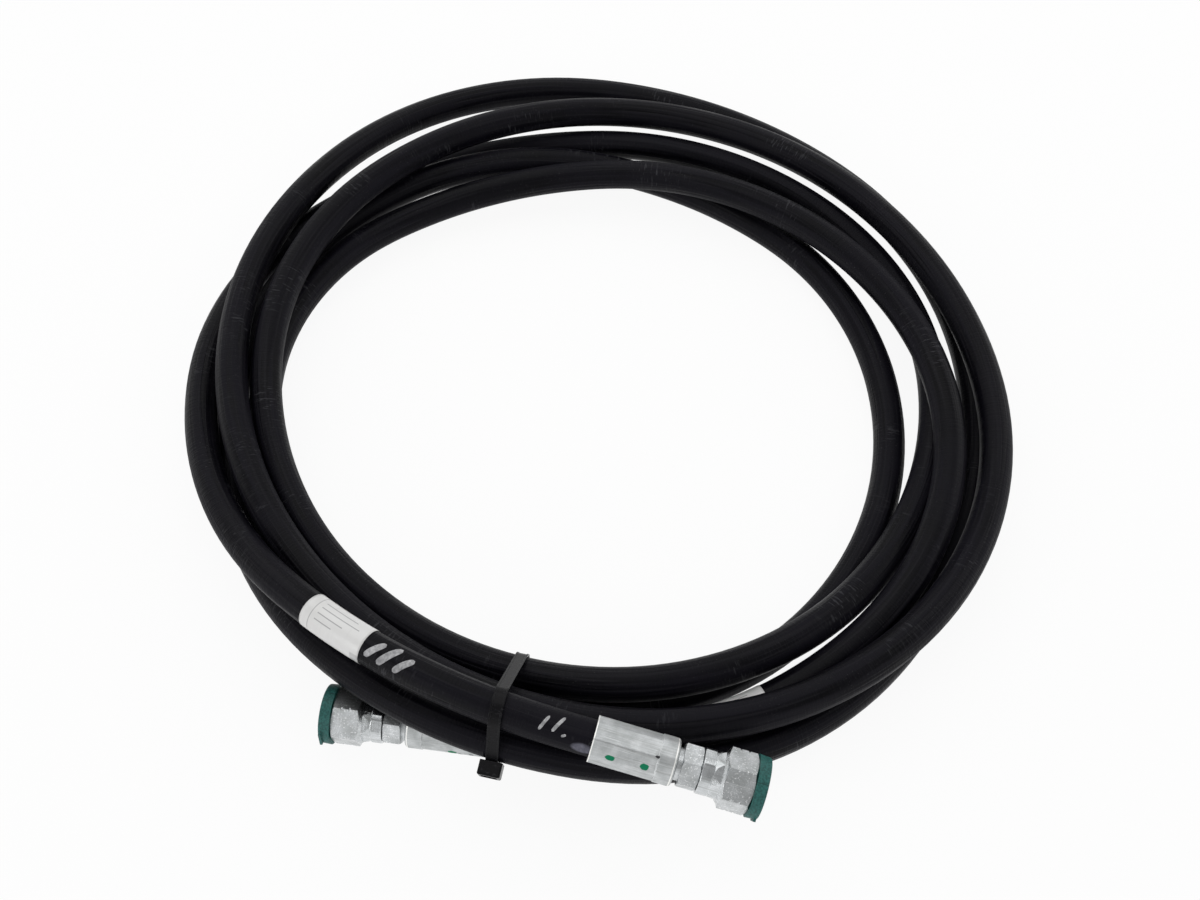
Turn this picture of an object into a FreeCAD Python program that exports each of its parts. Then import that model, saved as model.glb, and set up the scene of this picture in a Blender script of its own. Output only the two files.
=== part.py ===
"""A hydraulic hose assembly laid down in a loose coil of five turns.

One long rubber hose carries a crimped swivel fitting on each end. Each fitting is a ferrule, an insert
with a 24 degree cone and an O-ring, a swivel nut that spins on the insert, and a plastic dust plug pushed
into the nut. Two paper labels are wrapped round the hose and one cable tie gathers the turns.

Millimetres, +Z up. The origin is on the floor under the middle of the whole assembly.
End a lies on the floor under the coil. End b lies on top of it.
"""
import FreeCAD, Part
import math
import os
import Sketcher
from FreeCAD import Placement, Rotation, Vector

# Sizes: name, value in millimetres, degrees or a count, and what it is
SIZES = (
    ("hose_outer", 22, "outside diameter of the hose"),
    ("hose_bore", 12.7, "bore of the hose"),
    ("coil_radius", 250, "mean radius of the turns"),
    ("floor_flat", 0.5, "how deep the hose is pressed flat where it lies on the floor"),
    ("centre_x", 4.94, "coil centre from the middle of the whole assembly, to the right"),
    ("centre_y", 14.22, "coil centre from the middle of the whole assembly, away from the front"),
    ("hose_grip", 43.1, "length of hose inside a ferrule"),
    ("seat_gap", 0.1, "gap between pieces that are pressed or crimped together"),
    ("hose_end_gap", 0.3, "gap between the cut end of the hose and the insert flange"),
    ("ferrule_wall", 3.1, "wall of the ferrule where it isn't crimped"),
    ("mouth_chamfer", 1, "chamfer inside the ferrule mouth"),
    ("crimp_length", 39, "crimped length of the ferrule, from the mouth"),
    ("crimp_squeeze", 0.45, "how far the crimped length lies inside the rest"),
    ("crimp_flats", 8, "flats pressed into the ferrule by the crimping dies"),
    ("crimp_depth", 0.85, "depth of a flat on the crimped length"),
    ("fade_depth", 0.4, "depth of the same flats past the crimped length"),
    ("lip_thickness", 3, "thickness of the lip turned into the lock groove"),
    ("lip_gap", 0.2, "gap on each side of the lip in the lock groove"),
    ("ferrule_round", 2.2, "rounding of the ferrule at the lip"),
    ("stem_wall", 1.25, "wall of the insert's stem"),
    ("stem_start", 2, "insert tip from the ferrule mouth"),
    ("stem_taper", 0.8, "chamfer at the tip of the insert"),
    ("barb_count", 6, "barbs on the stem"),
    ("barb_pitch", 5.5, "distance from barb to barb"),
    ("barb_depth", 0.5, "depth of a barb"),
    ("barb_land", 1.1, "sloping back of a barb's tooth"),
    ("flange_gap", 0.6, "gap between the flange that the hose end meets and the ferrule"),
    ("flange_thickness", 3.5, "thickness of that flange"),
    ("lock_wall", 2.65, "wall left under the lock groove"),
    ("collar_step", 2.05, "how far the collar next to the ferrule stands over the lock groove"),
    ("collar_length", 2.7, "length of the collar up to the hexagon"),
    ("hex_flats", 24, "insert hexagon across flats"),
    ("hex_length", 11.1, "length of the insert hexagon"),
    ("hex_corner_break", 0.6, "how far outside its flats the insert hexagon's bevels begin"),
    ("neck_outer", 17, "neck that the swivel nut turns on"),
    ("swivel_gap", 0.4, "running gap between the nut and the insert"),
    ("nut_rear_gap", 0.5, "gap between the insert hexagon and the nut"),
    ("shoulder_room", 1.188, "gap between the shoulder that holds the nut and the thread"),
    ("shoulder_length", 4.7, "length of that shoulder"),
    ("nose_step", 0.05, "step from the shoulder down to the 24 degree cone"),
    ("nose_length", 10.3, "length of the cone"),
    ("nose_half_angle", 12, "half of the cone angle"),
    ("ring_cord", 2, "section of the O-ring"),
    ("ring_depth", 2.95, "depth of the O-ring groove below the large end of the cone"),
    ("ring_from_nose", 4, "start of the O-ring groove from the large end of the cone"),
    ("ring_groove", 2.5, "width of the O-ring groove"),
    ("nut_flats", 32, "swivel nut across flats"),
    ("nut_length", 31.3, "length of the swivel nut"),
    ("nut_collar_wall", 2.5, "wall of the swaged collar at the back of the nut"),
    ("nut_collar_length", 6.5, "length of the swaged collar"),
    ("nut_waist_wall", 1.9, "wall at the waist in front of the collar"),
    ("nut_flare_wall", 3.2, "wall where the waist has widened, next to the hexagon"),
    ("nut_flare_length", 1.4, "length of the steep cone up to the hexagon"),
    ("nut_neck_length", 13.6, "back of the nut up to the hexagon"),
    ("nut_lip_length", 3.5, "lip that holds the nut on the insert"),
    ("nut_edge", 0.5, "chamfer at the back of the nut"),
    ("swage_flats", 8, "flats left by the swaging dies on the nut collar"),
    ("swage_depth", 0.5, "depth of a swaging flat"),
    ("notch_count", 2, "notches cut across each corner of the nut"),
    ("notch_pitch", 5, "distance between those notches"),
    ("notch_width", 1, "width of a notch"),
    ("notch_depth", 0.6, "depth of a notch below the corner"),
    ("thread_bore", 24.376, "crest diameter of the M26 x 1.5 internal thread"),
    ("thread_length", 14, "length of the thread"),
    ("thread_chamfer", 1, "chamfer at the mouth of the nut"),
    ("hex_bevel_angle", 30, "bevel of the hexagon corners"),
    ("plug_overhang", 0.03, "how far the disc of the dust plug stands over the nut's corners"),
    ("plug_thickness", 7, "thickness of that disc"),
    ("plug_gap", 0.1, "gap between the plug and the nut"),
    ("plug_draft", 0.4, "how much the disc narrows to its face"),
    ("plug_shank_length", 10, "length of the shank inside the nut"),
    ("plug_wall", 1.8, "wall of the shank"),
    ("plug_web", 3, "thickness of the plug's face"),
    ("plug_round", 0.8, "rounding of the disc"),
    ("plug_tip", 0.6, "chamfer at the tip of the shank"),
    ("tab_width", 13, "pull lip of the plug"),
    ("tab_reach", 0.9, "how far the pull lip stands out"),
    ("tab_thickness", 1.5, "thickness of the pull lip"),
    ("plug_lift", 0.2, "gap between the lower plug and the floor"),
    ("nut_lift", 6.3, "height of the upper hose end over its nut at rest on two turns, for the dip"),
    ("ferrule_lift", 10.575, "height of the upper hose end over its ferrule at rest on two turns"),
    ("ferrule_a_turn", -1.8, "turn of the lower ferrule about its fitting's line"),
    ("insert_a_turn", 26.7, "turn of the lower insert"),
    ("swivel_nut_a_turn", 46.7, "turn of the lower nut"),
    ("plug_a_turn", -84, "turn of the lower plug"),
    ("ferrule_b_turn", 24.6, "turn of the upper ferrule about its fitting's line"),
    ("insert_b_turn", 54.1, "turn of the upper insert"),
    ("swivel_nut_b_turn", 42.6, "turn of the upper nut"),
    ("plug_b_turn", -88, "turn of the upper plug"),
    ("label_length", 50, "length of a label along the hose"),
    ("label_thickness", 0.2, "thickness of a label"),
    ("label_gap", 0.1, "gap between a label and the hose"),
    ("label_a_place", 105, "lower label from the first station of the route"),
    ("label_b_place", 125, "upper label from the last station of the route"),
    ("tie_place", -12.4, "plane of the cable tie, degrees of travel"),
    ("tie_width", 7.6, "width of the strap"),
    ("tie_thickness", 1.3, "thickness of the strap"),
    ("tie_gap", 0.35, "gap between the strap and the hose"),
    ("tie_rail", 1.1, "width of the raised edges of the strap"),
    ("tie_recess", 0.35, "depth between the raised edges"),
    ("head_width", 14, "width of the tie's head"),
    ("head_length", 11, "length of the head along the strap"),
    ("head_height", 8.9, "height of the head over the middle of the strap's thickness"),
    ("head_round", 1.2, "rounding of the head"),
    ("head_wall", 2, "wall round the slot in the head"),
    ("slot_depth", 6, "depth of the slot that the strap comes out of"),
    ("tail_short", 1, "how far the cut end of the strap stops below the head's face"),
    ("head_angle", -8, "side of the bundle that the head lies on, degrees from level"),
)
VALUE = {name: float(value) for name, value, note in SIZES}

# Stations of the route: degrees of travel from the front, counter-clockwise seen from above; distance out
# from the mean radius; rise over the floor turn; drift outwards and climb over a quarter turn. All but the
# first are in hose diameters. The rise of the first and last stations follows the fittings, so it is worked
# out below.
ROUTE = (
    (-10, 1.05, None, -0.7, 0.0),
    (90, -0.70, 1.30, -3.8, -0.8),
    (180, -3.15, 0.90, 0.1, -1.0),
    (270, -0.40, 0.15, 0.6, -0.9),
    (360, -0.10, 0.10, -0.9, -0.2),
    (450, -2.10, 0.10, -1.9, 0.4),
    (540, -2.25, 0.30, 2.0, 1.8),
    (630, 0.65, 0.00, 0.7, 0.1),
    (720, 1.80, 1.30, 1.3, -3.7),
    (810, 0.95, 0.00, 0.1, 0.0),
    (900, 1.70, 0.05, 2.7, 0.2),
    (990, 0.45, 1.50, -1.9, 0.7),
    (1080, 0.80, 1.60, 2.6, 0.7),
    (1170, 1.00, 1.05, -2.8, 0.1),
    (1260, -0.25, 1.05, -1.7, 1.9),
    (1350, -0.60, 1.20, -0.7, -1.4),
    (1440, -0.50, 1.10, 1.0, 0.9),
    (1530, -0.40, 0.15, 0.6, -1.2),
    (1620, -1.05, 0.20, 0.7, -0.8),
    (1710, 1.55, 0.60, -0.8, 2.4),
    (1794.8, 1.30, None, 3.4, -2.2),
)


class Size:
    """A length that carries both its value and the sheet expression that gives it."""

    def __init__(self, value, text):
        self.value = value
        self.text = text

    def joined(self, other, sign, value):
        other_text = other.text if isinstance(other, Size) else "%.9g" % other
        return Size(value, "(%s %s %s)" % (self.text, sign, other_text))

    def __float__(self):
        return self.value

    def __add__(self, other):
        return self.joined(other, "+", self.value + float(other))

    def __sub__(self, other):
        return self.joined(other, "-", self.value - float(other))

    def __mul__(self, other):
        return self.joined(other, "*", self.value * float(other))

    def __truediv__(self, other):
        return self.joined(other, "/", self.value / float(other))


def size(name):
    """The sheet's value under this name."""
    return Size(VALUE[name], "Sizes." + name)


doc = FreeCAD.newDocument("hose_assembly")
sheet = doc.addObject("Spreadsheet::Sheet", "Sizes")
for row, (name, value, note) in enumerate(SIZES, start=1):
    sheet.set("A%d" % row, name)
    sheet.set("B%d" % row, str(value))
    sheet.set("C%d" % row, note)
    sheet.setAlias("B%d" % row, name)
doc.recompute()

# Sizes that follow from the driving ones, along a fitting from the ferrule mouth
ZERO = size("hose_grip") * 0
HOSE_RADIUS = size("hose_outer") / 2
FERRULE_BORE = HOSE_RADIUS + size("seat_gap")
FERRULE_RADIUS = FERRULE_BORE + size("ferrule_wall")
CRIMP_RADIUS = FERRULE_RADIUS - size("crimp_squeeze")
FLANGE_START = size("hose_grip") + size("hose_end_gap")
FLANGE_END = FLANGE_START + size("flange_thickness")
FERRULE_END = FLANGE_END + size("lip_gap") + size("lip_thickness")
COLLAR_START = FERRULE_END + size("lip_gap")
HEX_START = COLLAR_START + size("collar_length")
HEX_END = HEX_START + size("hex_length")
NUT_START = HEX_END + size("nut_rear_gap")
NUT_END = NUT_START + size("nut_length")
SHOULDER_START = NUT_START + size("nut_lip_length") + size("swivel_gap")
SHOULDER_END = SHOULDER_START + size("shoulder_length")
NOSE_END = SHOULDER_END + size("nose_length")
CORNER_PER_FLAT = 1 / math.cos(math.radians(30))
NUT_CORNER = size("nut_flats") * (CORNER_PER_FLAT / 2)
PLUG_RADIUS = NUT_CORNER + size("plug_overhang")

# Radii that follow from the hose bore and the thread
STEM_RADIUS = size("hose_bore") / 2 - size("seat_gap")
INSERT_BORE = STEM_RADIUS - size("stem_wall")
LOCK_RADIUS = INSERT_BORE + size("lock_wall")
THREAD_RADIUS = size("thread_bore") / 2
SHOULDER_RADIUS = THREAD_RADIUS - size("shoulder_room")
NUT_CAVITY = SHOULDER_RADIUS + size("swivel_gap")
NOSE_RADIUS = SHOULDER_RADIUS - size("nose_step")
RING_SEAT = NOSE_RADIUS - size("ring_depth")

# How far a cutting outline reaches past the metal it cuts
PAST = 1.0


def bind(thing, prop, length):
    """Gives a property its value and ties it to the sheet."""
    setattr(thing, prop, length.value)
    thing.setExpression(prop, length.text)


def new_body(name):
    """A body named after its file."""
    body = doc.addObject("PartDesign::Body", name)
    body.Label = name
    return body


def origin_plane(body, role):
    """One of the body's own three planes."""
    return [feature for feature in body.Origin.OriginFeatures if feature.Role == role][0]


def outline(body, name, role, corners, height=None):
    """Draws a closed outline of straight sides, each corner held at its two sheet expressions."""
    sketch = body.newObject("Sketcher::SketchObject", body.Name + "_" + name)
    sketch.AttachmentSupport = [(origin_plane(body, role), "")]
    sketch.MapMode = "FlatFace"
    if height is not None:
        sketch.AttachmentOffset = Placement(Vector(0, 0, height.value), Rotation())
        sketch.setExpression("AttachmentOffset.Base.z", height.text)
    count = len(corners)
    points = [Vector(float(across), float(along), 0) for across, along in corners]
    for index in range(count):
        sketch.addGeometry(Part.LineSegment(points[index], points[(index + 1) % count]))
    for index in range(count):
        sketch.addConstraint(Sketcher.Constraint("Coincident", index, 2, (index + 1) % count, 1))
    for index, corner in enumerate(corners):
        for kind, length in zip(("DistanceX", "DistanceY"), corner):
            number = sketch.addConstraint(Sketcher.Constraint(kind, -1, 1, index, 1, float(length)))
            sketch.setExpression("Constraints[%d]" % number, length.text)
    return sketch


def turned(body, name, corners):
    """Adds an outline of radii and heights turned about the body's axis."""
    sketch = outline(body, name + "_outline", "XZ_Plane", corners)
    feature = body.newObject("PartDesign::Revolution", body.Name + "_" + name)
    feature.Profile = sketch
    feature.ReferenceAxis = (sketch, ["V_Axis"])
    feature.Angle = 360
    doc.recompute()
    return feature


def turned_cut(body, name, corners):
    """Cuts an outline of radii and heights turned about the body's axis."""
    before = body.Shape.Volume
    sketch = outline(body, name + "_outline", "XZ_Plane", corners)
    feature = body.newObject("PartDesign::Groove", body.Name + "_" + name)
    feature.Profile = sketch
    feature.ReferenceAxis = (sketch, ["V_Axis"])
    feature.Angle = 360
    doc.recompute()
    require_cut(body, before, name)
    return feature


def require_cut(body, before, name):
    """Stops the build if a cut took nothing away."""
    if body.Shape.Volume > before - 1e-3:
        raise RuntimeError("%s %s cut nothing" % (body.Name, name))


def hexagon(body, name, across_flats, start, length):
    """Adds a six-sided length to a body."""
    reach = across_flats * (CORNER_PER_FLAT / 2)
    corners = []
    for index in range(6):
        angle = math.radians(60 * index)
        corners.append((reach * math.cos(angle), reach * math.sin(angle)))
    sketch = outline(body, name + "_outline", "XY_Plane", corners, start)
    pad = body.newObject("PartDesign::Pad", body.Name + "_" + name)
    pad.Profile = sketch
    bind(pad, "Length", length)
    doc.recompute()
    return pad


def bevel_corners(body, name, across_flats, begin, end, outward):
    """Bevels a hexagon's corners from a radius on; outward is 1 at its upper end, -1 at its lower end."""
    reach = across_flats * (CORNER_PER_FLAT / 2) + PAST
    drop = (reach - begin) * math.tan(math.radians(VALUE["hex_bevel_angle"]))
    turned_cut(body, name, [
        (begin, end),
        (reach, end),
        (reach, end - drop * outward),
    ])


def flats_round(body, name, count, radius, depth, start, length):
    """Presses a ring of flats into a round length of this radius."""
    before = body.Shape.Volume
    half_wide = (radius + PAST) * math.tan(math.pi / VALUE[count])
    bottom = radius - depth
    sketch = outline(body, name + "_outline", "XY_Plane", [
        (bottom, half_wide * -1),
        (radius + PAST, half_wide * -1),
        (radius + PAST, half_wide),
        (bottom, half_wide),
    ], start)
    pocket = body.newObject("PartDesign::Pocket", body.Name + "_" + name)
    pocket.Profile = sketch
    pocket.Reversed = True
    bind(pocket, "Length", length)
    doc.recompute()
    require_cut(body, before, name)
    once = body.Shape.Volume
    ring = body.newObject("PartDesign::PolarPattern", body.Name + "_" + name + "_ring")
    ring.Originals = [pocket]
    ring.Axis = (sketch, ["N_Axis"])
    ring.Angle = 360
    bind_count(ring, count)
    body.Tip = ring
    doc.recompute()
    require_cut(body, once, name + " ring")


def bind_count(pattern, name):
    """Ties the number of repeats to the sheet."""
    pattern.Occurrences = int(VALUE[name])
    pattern.setExpression("Occurrences", "Sizes." + name)


def round_edge(body, name, radius, height, rounding):
    """Rounds the circular edge of this radius at this height."""
    base = body.Tip
    found = []
    for number, edge in enumerate(base.Shape.Edges, start=1):
        curve = edge.Curve
        if not isinstance(curve, Part.Circle):
            continue
        if abs(curve.Radius - radius.value) < 0.01 and abs(curve.Center.z - height.value) < 0.01:
            found.append("Edge%d" % number)
    if not found:
        raise RuntimeError("%s has no edge for %s" % (body.Name, name))
    fillet = body.newObject("PartDesign::Fillet", body.Name + "_" + name)
    fillet.Base = (base, found)
    bind(fillet, "Radius", size(rounding))
    body.Tip = fillet
    doc.recompute()


# The route of the hose


def route_station(row):
    """Middle of the hose and its heading at one station of the route."""
    travel, out, rise, drift, climb = row
    across = VALUE["hose_outer"]
    angle = math.radians(travel - 90)
    radius = VALUE["coil_radius"] + out * across
    height = across / 2 - VALUE["floor_flat"] + rise * across
    per_radian = across / (math.pi / 2)
    out_x = math.cos(angle)
    out_y = math.sin(angle)
    place = Vector(radius * out_x + VALUE["centre_x"], radius * out_y + VALUE["centre_y"], height)
    heading = Vector(
        drift * per_radian * out_x - radius * out_y,
        drift * per_radian * out_y + radius * out_x,
        climb * per_radian,
    )
    return place, heading.normalize()


def end_rises():
    """Rise of the end stations: the lower plug clears the floor, the upper fitting lies on two turns."""
    across = VALUE["hose_outer"]
    on_floor = across / 2 - VALUE["floor_flat"]
    first = PLUG_RADIUS.value + VALUE["plug_lift"]
    for_nut = NUT_CORNER.value + VALUE["nut_lift"]
    for_ferrule = FERRULE_RADIUS.value + VALUE["ferrule_lift"]
    last = 2 * across + max(for_nut, for_ferrule)
    return (first - on_floor) / across, (last - on_floor) / across


def meeting_point(start, heading, end, end_heading):
    """Where two arcs, each tangent to one station's heading, meet smoothly."""
    chord = end - start
    bend = 2 * (1 - heading.dot(end_heading))
    along = chord.dot(heading + end_heading)
    reach = (math.sqrt(along * along + bend * chord.dot(chord)) - along) / bend
    return (start + heading * reach + end - end_heading * reach) * 0.5


class Run:
    """One arc or straight of the route, given by its start, its heading there and its end."""

    def __init__(self, start, heading, end):
        self.start = start
        self.heading = heading
        self.end = end
        chord = end - start
        side = chord - heading * chord.dot(heading)
        self.straight = side.Length < 1e-6
        if self.straight:
            self.length = chord.Length
            return
        self.inward = side * (1 / side.Length)
        self.radius = chord.Length ** 2 / (2 * side.Length)
        self.turn = 2 * math.atan2(side.Length, chord.dot(heading))
        self.length = self.radius * self.turn

    def at(self, distance):
        """Place and heading at a distance from the start of this run."""
        if self.straight:
            return self.start + self.heading * distance, self.heading
        angle = distance / self.radius
        place = self.start + self.heading * (self.radius * math.sin(angle))
        place = place + self.inward * (self.radius * (1 - math.cos(angle)))
        return place, self.heading * math.cos(angle) + self.inward * math.sin(angle)

    def part(self, low, high):
        """The stretch of this run between two distances."""
        start, heading = self.at(low)
        return Run(start, heading, self.at(high)[0])

    def edge(self):
        """This run as an edge."""
        if self.straight:
            return Part.LineSegment(self.start, self.end).toShape()
        return Part.Arc(self.start, self.at(self.length / 2)[0], self.end).toShape()


def hose_route():
    """Runs of the whole hose, from its cut end in one ferrule to its cut end in the other."""
    first_rise, last_rise = end_rises()
    rows = list(ROUTE)
    rows[0] = rows[0][:2] + (first_rise,) + rows[0][3:]
    rows[-1] = rows[-1][:2] + (last_rise,) + rows[-1][3:]
    stations = [route_station(row) for row in rows]
    end_run = VALUE["hose_outer"] + VALUE["hose_grip"]
    place, heading = stations[0]
    runs = [Run(place - heading * end_run, heading, place)]
    for (start, heading), (end, end_heading) in zip(stations[:-1], stations[1:]):
        middle = meeting_point(start, heading, end, end_heading)
        first = Run(start, heading, middle)
        runs.append(first)
        runs.append(Run(middle, first.at(first.length)[1], end))
    place, heading = stations[-1]
    runs.append(Run(place, heading, place + heading * end_run))
    return runs


def stretch(runs, low, high):
    """Runs of the route between two distances from its start."""
    parts = []
    passed = 0
    for run in runs:
        begin = max(low - passed, 0)
        finish = min(high - passed, run.length)
        if finish - begin > 1e-6:
            parts.append(run.part(begin, finish))
        passed += run.length
    return parts


def route_place(runs, distance):
    """Place and heading at a distance from the start of the route."""
    for run in runs:
        if distance <= run.length:
            return run.at(distance)
        distance -= run.length
    return runs[-1].at(runs[-1].length)


def tube(runs, radius):
    """A solid round bar along the runs."""
    path = Part.Wire([run.edge() for run in runs])
    section = Part.Wire([Part.Circle(runs[0].start, runs[0].heading, radius).toShape()])
    return path.makePipeShell([section], True, False)


def print_route(runs):
    """Prints the length, the tightest arc, the lowest point and the least gap of the hose to itself."""
    step = 3.0
    apart = 400.0
    length = sum(run.length for run in runs)
    count = int(length / step)
    places = [tuple(route_place(runs, length * index / count)[0]) for index in range(count + 1)]
    skip = int(apart / step)
    least = min(
        math.dist(places[first], places[second])
        for first in range(len(places))
        for second in range(first + skip, len(places))
    )
    print("hose length %.1f mm" % length)
    print("tightest arc %.1f mm" % min(run.radius for run in runs if not run.straight))
    print("lowest middle of the hose %.2f mm" % min(place[2] for place in places))
    print("least gap of the hose to itself %.2f mm" % (least - VALUE["hose_outer"]))


RUNS = hose_route()
LENGTH = sum(run.length for run in RUNS)
print_route(RUNS)


def add_shape(name, shape):
    """Keeps a shape that was built from the route as an object of the document."""
    feature = doc.addObject("Part::Feature", name)
    feature.Label = name
    feature.Shape = shape
    return feature


# The hose: one unbroken tube with its bore, pressed flat where it lies on the floor


def make_hose():
    hose = tube(RUNS, VALUE["hose_outer"] / 2).cut(tube(RUNS, VALUE["hose_bore"] / 2))
    reach = 2 * VALUE["coil_radius"]
    depth = VALUE["hose_outer"]
    floor = Part.makeBox(2 * reach, 2 * reach, depth, Vector(-reach, -reach, -depth))
    return add_shape("hose", hose.cut(floor))


# The labels: thin sleeves round the hose


def make_label(name, begin):
    inner = VALUE["hose_outer"] / 2 + VALUE["label_gap"]
    outer = inner + VALUE["label_thickness"]
    runs = stretch(RUNS, begin, begin + VALUE["label_length"])
    return add_shape(name, tube(runs, outer).cut(tube(runs, inner)))


# The cable tie: a strap round all the turns, its head and its cut tail


def bundle_centres(travel, spacing):
    """Middles of all the strands near one radial plane, as distance out and height in that plane."""
    angle = math.radians(travel - 90)
    out = Vector(math.cos(angle), math.sin(angle), 0)
    middle = Vector(VALUE["centre_x"], VALUE["centre_y"], 0)
    ahead = Vector(-math.sin(angle), math.cos(angle), 0)
    centres = []
    step = 2.0
    count = int(LENGTH / step)
    places = [route_place(RUNS, LENGTH * index / count)[0] - middle for index in range(count + 1)]
    for offset in (-spacing, 0, spacing):
        for before, after in zip(places[:-1], places[1:]):
            low = before.dot(ahead) - offset
            high = after.dot(ahead) - offset
            if low * high > 0 or before.dot(out) < 0:
                continue
            place = before + (after - before) * (low / (low - high))
            centres.append((place.dot(out), place.z))
    return centres


def around(points):
    """Corners of the tightest outline round some points, counter-clockwise, none nearly on another."""
    def side(first, second, third):
        return ((second[0] - first[0]) * (third[1] - first[1])
                - (second[1] - first[1]) * (third[0] - first[0]))

    ordered = sorted(set(points))
    chains = []
    for sequence in (ordered, ordered[::-1]):
        chain = []
        for point in sequence:
            while len(chain) > 1 and side(chain[-2], chain[-1], point) <= 0:
                chain.pop()
            chain.append(point)
        chains.append(chain[:-1])
    corners = chains[0] + chains[1]
    near = 0.05
    kept = []
    for index, corner in enumerate(corners):
        if kept and math.dist(kept[-1], corner) < near:
            continue
        kept.append(corner)
    return kept


def strap_wire(corners, distance):
    """Closed outline at a distance outside the corners: straight along each side, an arc at each corner."""
    count = len(corners)
    normals = []
    for index in range(count):
        start = corners[index]
        end = corners[(index + 1) % count]
        long = math.dist(start, end)
        normals.append(Vector((end[1] - start[1]) / long, (start[0] - end[0]) / long, 0))
    edges = []
    for index in range(count):
        corner = Vector(corners[index][0], corners[index][1], 0)
        following = Vector(*corners[(index + 1) % count], 0)
        before = normals[index - 1]
        after = normals[index]
        middle = (before + after).normalize()
        bend = [corner + normal * distance for normal in (before, middle, after)]
        edges.append(Part.Arc(*bend).toShape())
        edges.append(Part.LineSegment(bend[2], following + after * distance).toShape())
    return Part.Wire(edges)


def strap_ring(corners, inner, outer, width):
    """A band of this width between two distances outside the corners."""
    face = Part.Face(strap_wire(corners, outer)).cut(Part.Face(strap_wire(corners, inner)))
    ring = face.extrude(Vector(0, 0, width))
    ring.translate(Vector(0, 0, -width / 2))
    return ring


def centred_box(long, wide, bottom, top):
    """A box centred on the vertical axis, between two heights."""
    return Part.makeBox(long, wide, top - bottom, Vector(-long / 2, -wide / 2, bottom))


def make_tie():
    corners = around(bundle_centres(VALUE["tie_place"], VALUE["head_width"] / 2))
    inner = VALUE["hose_outer"] / 2 + VALUE["tie_gap"]
    outer = inner + VALUE["tie_thickness"]
    strap = strap_ring(corners, inner, outer, VALUE["tie_width"])
    track_width = VALUE["tie_width"] - 2 * VALUE["tie_rail"]
    track = strap_ring(corners, outer - VALUE["tie_recess"], outer + PAST, track_width)
    strap = strap.cut(track)

    # The head sits where the outline reaches furthest towards its angle
    turn = math.radians(VALUE["head_angle"])
    facing = Vector(math.cos(turn), math.sin(turn), 0)
    seat = max((Vector(*corner, 0) for corner in corners), key=facing.dot)
    along = Vector(-facing.y, facing.x, 0)
    middle = inner + VALUE["tie_thickness"] / 2
    stand = Placement(seat + facing * middle, Rotation(along, Vector(0, 0, 1), facing, "XYZ"))
    head = centred_box(VALUE["head_length"], VALUE["head_width"], 0, VALUE["head_height"])
    rim = [edge for edge in head.Edges if edge.CenterOfMass.z > VALUE["head_height"] / 4]
    head = head.makeFillet(VALUE["head_round"], rim)

    # The slot opens in the head's face, and the cut end of the strap stands in it
    slot = centred_box(
        VALUE["head_length"] - 2 * VALUE["head_wall"],
        VALUE["head_width"] - 2 * VALUE["head_wall"],
        VALUE["head_height"] - VALUE["slot_depth"],
        VALUE["head_height"] + PAST,
    )
    tail_top = VALUE["head_height"] - VALUE["tail_short"]
    tail = centred_box(VALUE["tie_thickness"], VALUE["tie_width"], 0, tail_top)
    block = head.cut(slot).fuse(tail)
    block.Placement = stand
    tie = strap.fuse(block).removeSplitter()

    angle = math.radians(VALUE["tie_place"] - 90)
    out = Vector(math.cos(angle), math.sin(angle), 0)
    up = Vector(0, 0, 1)
    feature = add_shape("cable_tie", tie)
    feature.Placement = Placement(
        Vector(VALUE["centre_x"], VALUE["centre_y"], 0),
        Rotation(out, up, out.cross(up), "XYZ"),
    )
    return feature


# The ferrule: a steel sleeve crimped over the hose, its end lip turned into the insert's lock groove


def make_ferrule(name):
    body = new_body(name)
    lip_bore = LOCK_RADIUS + size("seat_gap")
    lip_start = FERRULE_END - size("lip_thickness")
    crimp_end = size("crimp_length")
    turned(body, "sleeve", [
        (FERRULE_BORE + size("mouth_chamfer"), ZERO),
        (CRIMP_RADIUS, ZERO),
        (CRIMP_RADIUS, crimp_end),
        (FERRULE_RADIUS, crimp_end + size("crimp_squeeze")),
        (FERRULE_RADIUS, FERRULE_END),
        (lip_bore, FERRULE_END),
        (lip_bore, lip_start),
        (FERRULE_BORE, lip_start),
        (FERRULE_BORE, size("mouth_chamfer")),
    ])
    round_edge(body, "lip_edge", FERRULE_RADIUS, FERRULE_END, "ferrule_round")
    flats_round(body, "crimp", "crimp_flats", CRIMP_RADIUS, size("crimp_depth"), ZERO, crimp_end)
    fade_length = FERRULE_END - size("ferrule_round") / 2 - crimp_end
    flats_round(body, "fade", "crimp_flats", FERRULE_RADIUS, size("fade_depth"), crimp_end, fade_length)
    return body


# The insert: barbed stem, flange, lock groove, hexagon, neck, shoulder and cone in one piece


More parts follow.
